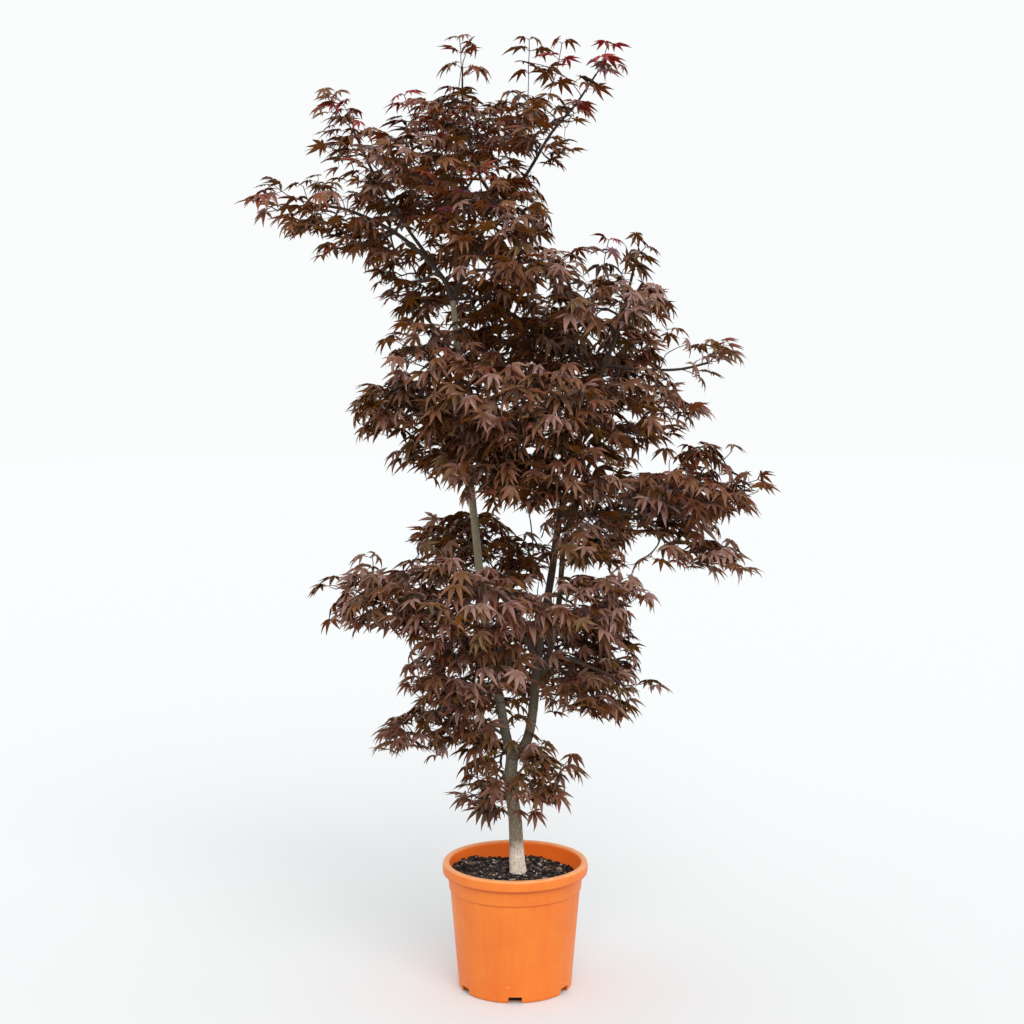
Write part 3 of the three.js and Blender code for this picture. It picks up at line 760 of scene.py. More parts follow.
def build_limbs():
    bark_low = bark_material("bark_trunk", (234, 224, 208), (130, 120, 100), (84, 72, 60), (252, 244, 230), 0.298, 0.338, 0.55)
    bark_high = bark_material("bark_stem", (116, 104, 84), (60, 48, 40), (38, 30, 26), (118, 106, 92), 0.45, 0.78, 0.55)
    bark_left = bark_material("bark_left_stem", (98, 94, 80), (144, 134, 110), (66, 56, 46), (176, 168, 150), 0.56, 0.80, 0.40)
    for name, pts, r0, r1, flare in LIMBS:
        length = smooth_path(pts, 4)[1]
        n = max(8, int(length / 0.0045))
        path, length = smooth_path(pts, n)
        u = np.linspace(0, 1, n + 1)
        r = (r0 + (r1 - r0) * u) * 0.001
        ang_sides = 36 if name == "trunk" else (22 if r0 > 6 else 14)
        s = u * length
        if name != "trunk":
            r = r + 0.0016 * np.exp(-s / 0.010) * (r0 / 6)          # the collar where a limb leaves its parent
        t = unit(np.gradient(path, axis=0))
        for k in range(0, n + 1):
            limb_nodes.append((path[k], t[k], r[k], name))
        limb_line[name] = (path, t, r)
        knots = np.random.default_rng(len(name) * 7 + int(r0 * 10)).uniform(0.06, 0.95, max(2, int(length / 0.07)))

        def profile(path, ang, u=u, r=r, name=name, flare=flare, knots=knots, length=length, t=t):
            out = np.zeros((len(path), len(ang)))
            if flare:
                fall = np.exp(-u / 0.12)[:, None]
                out += flare * 0.001 * fall * (1 + 0.25 * np.cos(3 * ang + 0.6) + 0.62 * np.cos(ang) + 0.10 * np.cos(5 * ang + 1.0))[None]
            q = path[:, None, :] + np.stack([np.cos(ang), np.sin(ang), 0 * ang], -1)[None] * 0.012
            q = q.reshape(-1, 3)
            big = wobble(q * [1, 1, 0.6], 90, 14, 2).reshape(out.shape)
            fine = wobble(q * [1, 1, 0.8], 520, 15, 2).reshape(out.shape)
            out += r[:, None] * 0.030 * big + 0.00010 * fine
            for kn in knots:                                   # ring scars where leaf pairs stood
                out += r[:, None] * 0.075 * np.exp(-(((u - kn) * length / 0.0026)[:, None]) ** 2)
            return out

        tb = Tubes()
        tb.add(path, r, ang_sides, 0, profile)
        if name == "trunk":
            v = tb.V[0]
            ring = v[:ang_sides]
            ring[:, 2] = 0.2165
            v[len(path) * ang_sides][2] = 0.2165
        tb.build("bark_" + name, [{"trunk": bark_low, "left_stem": bark_left}.get(name, bark_high)], (name,))


build_limbs()

# ------------------------------------------------------------------ where the masses are

MASS_REGION = {
    "top": ("spire_left", "spire_middle", "spire_right", "top_left", "top_right", "top_back", "shoulder", "arm_left"),
    "upper": ("upper_left", "upper_middle", "upper_back", "hang_left", "hang_middle", "hang_back", "right_spire", "right_top", "right_wing"),
    "middle": ("mid_left", "left_pad", "front_pad", "right_pad", "back_pad", "right_back_pad"),
    "lower": ("right_low_pad", "right_hang", "left_low_pad", "front_low_pad", "right_front_hang", "behind_left", "behind_middle", "left_arm", "front_skirt", "front_right_skirt"),
    "foot": ("front_low_skirt", "right_skirt", "left_skirt", "left_foot_pad", "back_skirt", "foot_left", "foot_right"),
}


class Mass:
    """One CAD foliage mass as a closed mesh that points can be tested against."""

    def __init__(self, name):
        me = frame["nodes"][name].data
        self.name = name
        self.v = np.array([v.co[:] for v in me.vertices])
        self.f = [tuple(p.vertices) for p in me.polygons]
        self.lo, self.hi = self.v.min(0), self.v.max(0)
        self.mid = (self.lo + self.hi) / 2
        self.bvh = BVHTree.FromPolygons([Vector(v) for v in self.v], self.f)
        self.volume = 0.0
        for f in self.f:
            a = self.v[f[0]]
            for j in range(1, len(f) - 1):
                self.volume += np.dot(a, np.cross(self.v[f[j]], self.v[f[j + 1]])) / 6

    def depth(self, p):
        """How far inside the mass a point is, negative outside."""
        q, n, i, d = self.bvh.find_nearest(Vector(p))
        return d if (Vector(p) - q).dot(n) < 0 else -d


masses = {}
for region, names in MASS_REGION.items():
    for nm in names:
        masses[nm] = Mass(nm)
        masses[nm].region = region
all_masses = list(masses.values())
crown_volume = sum(m.volume for m in all_masses)


def crown_depth(p):
    """Depth inside whichever mass is best, negative outside them all."""
    best = -1.0
    for m in all_masses:
        if np.all(p > m.lo - 0.06) and np.all(p < m.hi + 0.06):
            best = max(best, m.depth(p))
            if best > 0:
                return best
    return best


EYE = np.array([-0.006, -3.410, 1.296])          # where the crown is looked at from in front

# the open places of the crown seen from in front, in millimetres: across, height, half width, half height
SKY = [
    (-261, 1699, 34, 34), (-220, 1650, 14, 14), (-366, 1578, 18, 13), (-434, 1569, 36, 32), (-406, 1521, 19, 16),
    (76, 1540, 30, 30), (100, 1468, 34, 42), (-400, 1426, 32, 16), (270, 1400, 20, 24), (159, 1395, 15, 17),
    (-329, 1371, 30, 30), (-283, 1320, 19, 19), (-260, 1281, 15, 16), (345, 1280, 28, 28), (304, 1208, 15, 28),
    (400, 1198, 14, 13), (-272, 1189, 19, 19), (382, 1155, 21, 21), (394, 1075, 24, 23), (448, 1005, 21, 21),
    (-234, 1058, 13, 13), (-200, 962, 33, 44), (-135, 941, 30, 14), (5, 907, 24, 20), (470, 953, 14, 14),
    (440, 898, 23, 23), (-225, 848, 32, 24), (352, 796, 15, 15), (289, 767, 19, 19), (-353, 765, 15, 13),
    (-380, 730, 24, 24), (248, 706, 18, 26), (-346, 689, 14, 14), (-239, 648, 34, 34), (263, 621, 19, 19),
    (252, 568, 13, 13), (-224, 554, 17, 17), (105, 497, 46, 35), (129, 464, 15, 15), (-196, 446, 19, 19),
    (-138, 415, 27, 27), (-13, 1800, 32, 32), (-12, 1742, 30, 22), (-140, 1726, 26, 26), (-179, 1734, 17, 17),
    (135, 1803, 22, 22), (120, 1772, 14, 14), (50, 1768, 14, 14), (165, 1736, 17, 17), (83, 1701, 12, 12), (-121, 1797, 18, 18),
    (189, 796, 15, 8), (256, 807, 26, 6), (151, 809, 10, 7), (266, 1009, 26, 8), (216, 1111, 14, 7), (252, 869, 10, 8),
    (331, 1142, 12, 9), (350, 1085, 10, 6), (182, 740, 12, 7), (85, 1009, 8, 7),
]
SKY = np.array(SKY, float) * 0.001
_r = np.random.default_rng(2024)
_chink = np.stack([_r.uniform(-0.34, 0.24, 46), _r.uniform(1.18, 1.68, 46), _r.uniform(0.007, 0.015, 46), _r.uniform(0.007, 0.013, 46)], -1)
SKY_LARGE = SKY
_low = np.stack([_r.uniform(-0.22, 0.42, 44), _r.uniform(0.62, 1.16, 44), _r.uniform(0.006, 0.012, 44), _r.uniform(0.005, 0.010, 44)], -1)
SKY = np.vstack([SKY, _chink, _low])

# stretches of stem that no leaf hangs in front of: across, height, half width, half height, how far back the stem is
BARE = np.array([(-77, 880, 19, 66, -24), (-27, 530, 15, 44, -8), (33, 545, 11, 36, -8), (-3, 442, 11, 20, 2), (62, 800, 9, 60, -30)], float) * 0.001


# places that are grown more thinly: across, height, half width, half height, the share kept
THINNED = np.array([
    (265, 1094, 86, 86, 650), (266, 1015, 69, 15, 300), (418, 990, 42, 27, 500), (239, 836, 90, 60, 620), (-141, 1358, 85, 56, 750),
    (-169, 1441, 47, 33, 800), (159, 1404, 85, 52, 650), (92, 1717, 84, 82, 450), (-131, 1708, 30, 30, 350), (-326, 1653, 65, 40, 550),
    (-214, 1672, 37, 37, 600), (-449, 1506, 63, 52, 600), (-354, 798, 47, 39, 650), (202, 652, 48, 27, 750), (-29, 1236, 95, 75, 780),
], float) * 0.001


def kept(p, r):
    """Whether something may grow at p, by chance in the thinner places."""
    x, z = seen(p)
    near = ((x[0] - THINNED[:, 0]) / THINNED[:, 2]) ** 2 + ((z[0] - THINNED[:, 1]) / THINNED[:, 3]) ** 2 < 1
    return not near.any() or r.uniform() < THINNED[near, 4].min()


def seen(p):
    """Where points fall on the upright plane through the trunk, looked at from in front."""
    p = np.atleast_2d(p)
    k = -EYE[1] / (p[:, 1] - EYE[1])
    return EYE[0] + (p[:, 0] - EYE[0]) * k, EYE[2] + (p[:, 2] - EYE[2]) * k


def in_the_open(p, part=0.90, places=None):
    """Whether any of the points lies across an open place, or in front of a bare stretch of stem."""
    p = np.atleast_2d(p)
    x, z = seen(p)
    sky = SKY if places is None else places
    hit = (((x[:, None] - sky[:, 0]) / sky[:, 2]) ** 2 + ((z[:, None] - sky[:, 1]) / sky[:, 3]) ** 2 < part * part).any()
    if hit:
        return True
    front = p[:, 1][:, None] < BARE[:, 4]
    return bool(((((x[:, None] - BARE[:, 0]) / BARE[:, 2]) ** 2 + ((z[:, None] - BARE[:, 1]) / BARE[:, 3]) ** 2 < 1) & front).any())


def crown_axis(z):
    """The middle of the stems at a height, which leaves turn away from."""
    zs = [0.45, 0.65, 0.95, 1.2, 1.45, 1.8]
    xs = [-0.005, 0.0, 0.01, 0.02, -0.08, 0.02]
    return np.array([np.interp(z, zs, xs), 0.0, z])


# ------------------------------------------------------------------ twigs: a seeded branching rule

limb_pos = np.array([n[0] for n in limb_nodes])
limb_tan = np.array([n[1] for n in limb_nodes])
limb_rad = np.array([n[2] for n in limb_nodes])
limb_tag = [n[3] for n in limb_nodes]

TIP_R = 0.00085
PIPE = 2.35


class Twigs:
    """A forest of twig nodes. Node 0.. hold position, tangent, parent (or -1 - limb index), way from the limb."""

    def __init__(self):
        self.pos, self.tan, self.parent, self.way, self.spray = [], [], [], [], []
        self.tips = []          # (node, mass, kind)
        self.kids = []

    def add(self, pos, tan, parent, way, spray):
        self.pos.append(pos)
        self.tan.append(tan)
        self.parent.append(parent)
        self.way.append(way)
        self.spray.append(spray)
        self.kids.append(0)
        if parent >= 0:
            self.kids[parent] += 1
        return len(self.pos) - 1

    def twig(self, start, start_tan, parent, way, end, end_tan, spray, wander, r, step=0.0105):
        """A curved twig from start to end, with a slight random wander; returns its node numbers."""
        d = np.linalg.norm(end - start)
        n = max(3, int(math.ceil(d / step)))
        t = np.linspace(0, 1, n + 1)[1:, None]
        h = d * 0.95
        c = ((2 * t ** 3 - 3 * t ** 2 + 1) * start + (t ** 3 - 2 * t ** 2 + t) * start_tan * h + (-2 * t ** 3 + 3 * t ** 2) * end + (t ** 3 - t ** 2) * end_tan * h)
        side = unit(np.cross(unit(end - start), r.normal(size=3)))
        side2 = np.cross(unit(end - start), side)
        k = r.uniform(1.0, 2.2)
        ph = r.uniform(0, TAU)
        amp = wander * d
        win = np.sin(np.pi * t)
        c = c + amp * win * (side * np.sin(TAU * k * t + ph) + side2 * 0.6 * np.cos(TAU * k * 1.3 * t + ph))
        prev = start
        out = []
        for q in c:
            seg = q - prev
            ln = np.linalg.norm(seg)
            way = way + ln
            parent = self.add(q, seg / max(ln, 1e-9), parent, way, spray)
            out.append(parent)
            prev = q
        return out


twigs = Twigs()
spray_count = 0


def spread_points(mass, count, inset, r, flat=0.0):
    """Points through a mass, kept apart from each other, more of them near its skin."""
    pool = []
    tries = 0
    while len(pool) < count * 9 and tries < count * 400:
        tries += 1
        p = mass.lo + r.uniform(0, 1, 3) * (mass.hi - mass.lo)
        d = mass.depth(p)
        if d > inset and not in_the_open(p, 1.1):
            pool.append((p, d))
    if not pool:
        for _ in range(60):
            p = mass.lo + r.uniform(0.25, 0.75, 3) * (mass.hi - mass.lo)
            d = mass.depth(p)
            if d > 0.004:
                pool.append((p, d))
    if not pool:
        return np.array([mass.mid])
    P = np.array([p for p, _ in pool])
    D = np.array([d for _, d in pool])
    weight = np.exp(-((D - inset) / 0.035) ** 2) + 0.25
    chosen = [int(r.choice(len(P), p=weight / weight.sum()))]
    near = np.linalg.norm(P - P[chosen[0]], axis=1)
    while len(chosen) < min(count, len(P)):
        score = near * (0.55 + 0.45 * weight / weight.max()) * r.uniform(0.8, 1.0, len(P))
        k = int(np.argmax(score))
        chosen.append(k)
        near = np.minimum(near, np.linalg.norm(P - P[k], axis=1))
    return P[chosen]


# how thickly a mass is grown, against the rest
THIN = {"spire_left": 0.22, "spire_middle": 0.22, "spire_right": 0.22, "shoulder": 0.75, "arm_left": 0.85, "right_spire": 0.6, "right_wing": 0.7}


def grow(mass, density, r):
    """Twigs through one mass, each joining the twigs grown before it or the limbs in it."""
    global spray_count
    n_tips = int(round(density * mass.volume * 1000 * THIN.get(mass.name, 1.0)))
    n_tips = max(2 if mass.name in THIN else 7, n_tips)
    targets = spread_points(mass, n_tips, 0.014, r)
    near = np.array([mass.depth(p) if (np.all(p > mass.lo - 0.03) and np.all(p < mass.hi + 0.03)) else -1 for p in limb_pos])
    seeds = np.where(near > -0.012)[0]
    if len(seeds) == 0:
        gap = np.linalg.norm(limb_pos - mass.mid, axis=1) + 0.9 * np.maximum(0, limb_pos[:, 2] - mass.mid[2] + 0.03)
        seeds = np.argsort(gap)[:3]
    seeds = seeds[::2] if len(seeds) > 8 else seeds
    # (position, tangent, way, node number or -1 - limb index)
    S = [(limb_pos[k], limb_tan[k], 0.0, -1 - int(k)) for k in seeds]
    pos = np.array([s[0] for s in S])
    tan = np.array([s[1] for s in S])
    way = np.array([s[2] for s in S])
    ref = np.array([s[3] for s in S])
    root = pos.mean(0)
    order = np.argsort([np.linalg.norm(pos - t, axis=1).min() for t in targets])
    for k in order:
        a = targets[k]
        if not kept(a, r):
            continue
        v = a - pos
        d = np.linalg.norm(v, axis=1)
        dn = v / np.maximum(d, 1e-6)[:, None]
        cos = np.sum(dn * tan, 1)
        drop = np.maximum(0, -dn[:, 2])
        cost = d * (1 + 0.45 * (1 - cos) + 0.35 * drop) + 0.22 * way + np.where(d < 0.012, 0.2, 0)
        busy = np.array([0.02 * max(0, twigs.kids[q] - 1) if q >= 0 else 0.0 for q in ref])
        j = int(np.argmin(cost + busy))
        out = a - root
        out[2] *= 0.25
        out = unit(out + 1e-6)
        t0 = unit(0.55 * tan[j] + 0.85 * dn[j] + 0.22 * UP)
        t1 = unit(0.8 * dn[j] + 0.5 * out + r.normal(0, 0.22, 3) + [0, 0, 0.20])
        parent = int(ref[j])
        if parent >= 0 and d[j] > 0.03:
            spray_count += 1
        sp = spray_count
        ids = twigs.twig(pos[j], t0, parent, way[j], a, t1, sp, 0.035, r)
        twigs.tips.append((ids[-1], mass.name, "grown"))
        pos = np.vstack([pos, [twigs.pos[q] for q in ids]])
        tan = np.vstack([tan, [twigs.tan[q] for q in ids]])
        way = np.concatenate([way, [twigs.way[q] for q in ids]])
        ref = np.concatenate([ref, ids])


DENSITY = 15.2
for idx, m in enumerate(all_masses):
    grow(m, DENSITY, np.random.default_rng(900 + idx))

# ends that reach further than the masses are grown, in millimetres, each from the nearest twig that heads its way
REACH = [
    (64, -66, 716), (46, -72, 668),
    (-340, 0, 1690), (-336, -10, 1490), (-345, -15, 1425), (-285, -20, 1365), (-262, -10, 1640), (100, -10, 1690), (60, -20, 1590),
    (112, -10, 1420), (225, -10, 1405), (255, -10, 1335), (285, -10, 1275), (284, -5, 1228), (335, -10, 1120), (348, -10, 1050),
    (360, -10, 905), (330, -15, 870), (225, -20, 830), (212, -20, 744), (248, -15, 600), (160, -30, 560), (120, -20, 560), (-270, -40, 845),
    (-300, -60, 720), (-345, -70, 735), (-215, -20, 530), (-190, -60, 590), (-160, -60, 1010), (-235, -30, 1075), (-90, -10, 385),
    (-45, -15, 375), (-345, -84, 800), (-175, -40, 870), (-150, -40, 820), (90, -20, 430), (-215, -30, 500), (-30, -80, 960),
]


# the same with a single pair or two of leaves, where the crown only wants closing up
SHORT_REACH = [
    (65, -30, 1588), (61, -40, 1462), (-353, -5, 1712), (-372, -10, 1600), (-368, -10, 1548), (-312, -10, 1520), (-338, -20, 1465),
    (-410, -20, 1445), (-363, -15, 1392), (-470, -24, 1556), (22, -60, 1318), (258, -20, 1352),
    (304, -10, 1290), (322, -10, 1247), (343, -10, 1190), (366, -14, 1112), (345, -20, 1045), (410, -14, 1046), 
    (-168, -40, 1002), (-110, -30, 968),  (47, -40, 905), (-201, -40, 870), (418, -12, 925), (408, -12, 822), (330, -18, 806), (232, -24, 716),
    (-317, -60, 698), (-275, -60, 698), (262, -18, 590), (183, -30, 545), (67, -40, 550), (9, -40, 537), (-199, -20, 484), (-145, -24, 462),
    (-39, -20, 466), (-112, -14, 392), (106, -20, 452), (84, -16, 394), (18, -42, 482), (52, -34, 512), (-12, -40, 478),
    (-139, -50, 1361), (-172, -58, 1392), (-206, -62, 1430), (-240, -64, 1462), (-278, -60, 1478), (-150, -66, 1362), (-118, -62, 1322), (-122, -58, 1290), (-272, -50, 1472), (-116, -45, 1320), (-110, -55, 1283), (-129, -40, 1345), (-167, -20, 497),
]


def grow_reach():
    global spray_count
    r = np.random.default_rng(61)
    for q, kind in [(q, "reach") for q in REACH] + [(q, "short") for q in SHORT_REACH]:
        q = np.array(q, float) * 0.001
        if in_the_open(q, 0.8, SKY_LARGE):
            print("left out", kind, q)
            continue
        pos = np.vstack([limb_pos[::3], np.array(twigs.pos)])
        tan = np.vstack([limb_tan[::3], np.array(twigs.tan)])
        way = np.concatenate([np.zeros(len(limb_pos[::3])), twigs.way])
        ref = np.concatenate([-1 - np.arange(len(limb_pos))[::3], np.arange(len(twigs.pos))])
        v = q - pos
        d = np.linalg.norm(v, axis=1)
        dn = v / np.maximum(d, 1e-6)[:, None]
        cost = d * (1 + 0.6 * (1 - np.sum(dn * tan, 1))) + 0.06 * way + np.where(d < 0.025, 0.3, 0)
        j = int(np.argmin(cost))
        spray_count += 1
        t0 = unit(0.6 * tan[j] + 0.8 * dn[j])
        t1 = unit(0.9 * dn[j] + unit((q - crown_axis(q[2])) * [1, 1, 0] + 1e-9) * 0.4 + [0, 0, 0.12])
        ids = twigs.twig(pos[j], t0, int(ref[j]), way[j], q, t1, spray_count, 0.03, r)
        twigs.tips.append((ids[-1], max(all_masses, key=lambda m: m.depth(q)).name, kind))


grow_reach()

# ------------------------------------------------------------------ leading shoots that stand clear of the masses
# the mass it belongs to, its points in millimetres, and for each pair of leaves
# (way back from the tip in millimetres, size, tint, whether it spreads across or front to back)
SHOOTS = [
    ("spire_left", [(-108, -4, 1650), (-108, -4, 1686), (-100, -4, 1756), (-103, -4, 1812)],
     [(0, 0.56, "maroon", 0), (24, 0.80, "copper", 0.1), (54, 0.95, "umber", 0.0), (100, 0.85, "maroon", 0.6), (122, 0.95, "dark", 0.2)]),
    ("spire_middle", [(18, 12, 1600), (23, 16, 1657), (25, 22, 1740), (26, 24, 1812)],
     [(0, 0.50, "maroon", 0.1), (24, 0.76, "umber", 0.2), (58, 0.82, "maroon", 0.0), (112, 0.85, "copper", 0.2), (140, 0.9, "umber", 0)]),
    ("spire_right", [(50, -4, 1650), (59, -6, 1690), (79, -12, 1760), (86, -14, 1800)],
     [(0, 0.62, "maroon", 0), (30, 0.80, "crimson", 0.0), (70, 0.84, "maroon", 0.1), (100, 0.85, "umber", 0.4)]),
    ("spire_right", [(108, -8, 1672), (138, -14, 1725), (158, -15, 1760), (170, -17, 1796)],
     [(0, 0.72, "crimson", 0), (24, 0.85, "red", 0.5), (52, 1.00, "violet", 0), (92, 0.90, "maroon", 0.2), (124, 0.80, "red", 0.6)]),
    ("shoulder", [(-290, 2, 1610), (-298, 0, 1639), (-314, -6, 1682), (-334, -10, 1708)],
     [(0, 0.60, "maroon", 0), (24, 0.85, "red", 0.2), (56, 0.95, "umber", 0.1), (92, 1.0, "maroon", 0.8)]),
    ("shoulder", [(-295, -5, 1560), (-305, -8, 1585), (-318, -12, 1610), (-340, -20, 1640)],
     [(0, 0.60, "rose", 0.2), (26, 0.85, "maroon", 0.5), (58, 0.95, "umber", 0)]),
    ("upper_left", [(-180, -10, 1632), (-190, -14, 1657), (-205, -18, 1706)],
     [(0, 0.65, "crimson", 0), (20, 0.90, "red", 0.2), (52, 1.0, "maroon", 0.0), (84, 1.0, "umber", 0.7)]),
    ("right_spire", [(166, -4, 1374), (168, -6, 1408), (175, -8, 1441)],
     [(0, 0.60, "red", 0), (22, 0.90, "violet", 0.3), (54, 1.0, "dark", 0.8)]),
    ("right_spire", [(200, -8, 1380), (222, -14, 1404), (243, -20, 1428)],
     [(0, 0.60, "maroon", 0), (24, 0.90, "umber", 0.5), (52, 1.0, "umber", 0)]),
    ("arm_left", [(-390, -18, 1506), (-425, -22, 1524), (-450, -24, 1543)],
     [(0, 0.65, "umber", 0.3), (26, 0.90, "dusty", 0), (58, 1.0, "maroon", 0.7)]),
    ("right_wing", [(355, -2, 1214), (372, -6, 1230), (392, -10, 1246)],
     [(0, 0.65, "copper", 0.1), (24, 0.90, "rust", 0), (52, 1.0, "umber", 0.7)]),
    ("right_low_pad", [(405, -12, 966), (435, -14, 982), (460, -16, 992)],
     [(0, 0.60, "maroon", 0.2), (22, 0.85, "rust", 0), (48, 0.95, "umber", 0.7)]),
]
# thin side branches that cross the gap between the stems
BARE_TWIGS = [
    ("behind_middle", [(36, 0, 800), (34, 18, 863), (29, 20, 911), (21, 18, 950)], 1.5),
    ("behind_middle", [(23, 20, 926), (11, 15, 955), (-4, 15, 978)], 1.1),
    ("front_low_pad", [(50, -8, 880), (61, -4, 909), (78, -4, 929), (97, -4, 944)], 1.2),
]


def add_shoots():
    global spray_count
    r = np.random.default_rng(77)
    for mass_name, pts, leaf_pairs in SHOOTS:
        spray_count += 1
        p = [np.array(q, float) * 0.001 for q in pts]
        around = np.array(twigs.pos)
        k = int(np.argmin(np.linalg.norm(limb_pos - p[0], axis=1)))
        j = int(np.argmin(np.linalg.norm(around - p[0], axis=1)))
        if np.linalg.norm(around[j] - p[0]) < np.linalg.norm(limb_pos[k] - p[0]):
            parent, way, prev, ptan = j, twigs.way[j], around[j], np.array(twigs.tan[j])
        else:
            parent, way, prev, ptan = -1 - k, 0.0, limb_pos[k], limb_tan[k]
        ids = []
        chain = [prev] + (p[1:] if np.linalg.norm(prev - p[0]) < 0.02 else p)
        for a, b in zip(chain[:-1], chain[1:]):
            nxt = unit(b - a)
            new = twigs.twig(a, unit(0.5 * ptan + 0.8 * nxt), parent, way, b, nxt, spray_count, 0.010, r)
            ids += new
            parent, way, ptan = new[-1], twigs.way[new[-1]], nxt
        twigs.tips.append((ids[-1], mass_name, leaf_pairs))


add_shoots()

T_pos, T_tan = np.array(twigs.pos), np.array(twigs.tan)
T_parent, T_way = np.array(twigs.parent), np.array(twigs.way)
load = np.zeros(len(T_pos))
for node, _, _ in twigs.tips:
    load[node] += 1
for k in range(len(T_pos) - 1, -1, -1):          # children always come after their parents
    if T_parent[k] >= 0:
        load[T_parent[k]] += load[k]
T_rad = TIP_R * np.maximum(load, 1) ** (1 / PIPE)


def build_twigs():
    """Each twig from its tip down to where a stouter one takes over."""
    tubes = []
    done = np.zeros(len(T_pos), bool)
    chains = []
    for node, mass_name, kind in sorted(twigs.tips, key=lambda t: -T_way[t[0]]):
        chain = []
        k = node
        while k >= 0 and not done[k]:
            done[k] = True
            chain.append(k)
            k = int(T_parent[k])
        if not chain:
            chains.append((node, [node], k, mass_name, kind))
            tubes.append(None)
            continue
        if k >= 0:
            start, cap = T_pos[k], T_rad[k] * 0.9
        else:
            start, cap = limb_pos[-1 - k], limb_rad[-1 - k] * 0.75
        chain = chain[::-1]
        path = np.vstack([start, T_pos[chain]])
        rad = np.concatenate([[T_rad[chain[0]]], T_rad[chain]])
        rad = np.minimum(rad, max(cap, TIP_R))
        # even out the steps in the pipe model, and thin towards the tip
        for _ in range(3):
            rad[1:-1] = (rad[:-2] + 2 * rad[1:-1] + rad[2:]) / 4
        rad[0] *= 1.12
        sides = 7 if rad[0] > 0.0018 else 5
        s = np.concatenate([[0], np.cumsum(np.linalg.norm(np.diff(path, axis=0), axis=1))])
        for q in range(1, len(path) - 1):
            rad[q] *= 1 + 0.10 * math.sin(s[q] * 170.0 + node)
        tubes.append((path, rad, sides))
        chains.append((node, chain, k, mass_name, kind))
    return chains, tubes


chains, twig_tubes = build_twigs()
wanted = np.zeros(len(T_pos), bool)                # nodes that carry a leaf, or a twig that does


def mesh_twigs():
    """The twigs as tubes, each ending at its last leaf or side twig; a twig without either is left out."""
    tb = Tubes()
    for (node, chain, foot, _, _), tube in reversed(list(zip(chains, twig_tubes))):
        held = np.flatnonzero(wanted[chain])
        if not len(held):
            continue
        if foot >= 0:
            wanted[foot] = True
        if tube is not None:
            path, rad, sides = tube
            end = max(held[-1] + 2, 3)
            tb.add(path[:end], rad[:end], sides, 0)
    r = np.random.default_rng(31)
    for mass_name, pts, size in BARE_TWIGS:
        path, length = smooth_path(pts, max(5, int(len(pts) * 4)))
        tb.add(path, np.linspace(size, size * 0.7, len(path)) * 0.001 * r.uniform(0.94, 1.06, len(path)), 6, 0)
    tb.build("twigs", [twig_material()])


# ------------------------------------------------------------------ leaves

LOBE_ANGLES = np.radians([0, 37, -37, 76, -76, 121, -121])
LOBE_LENGTHS = np.array([1.0, 0.93, 0.93, 0.72, 0.72, 0.36, 0.36])


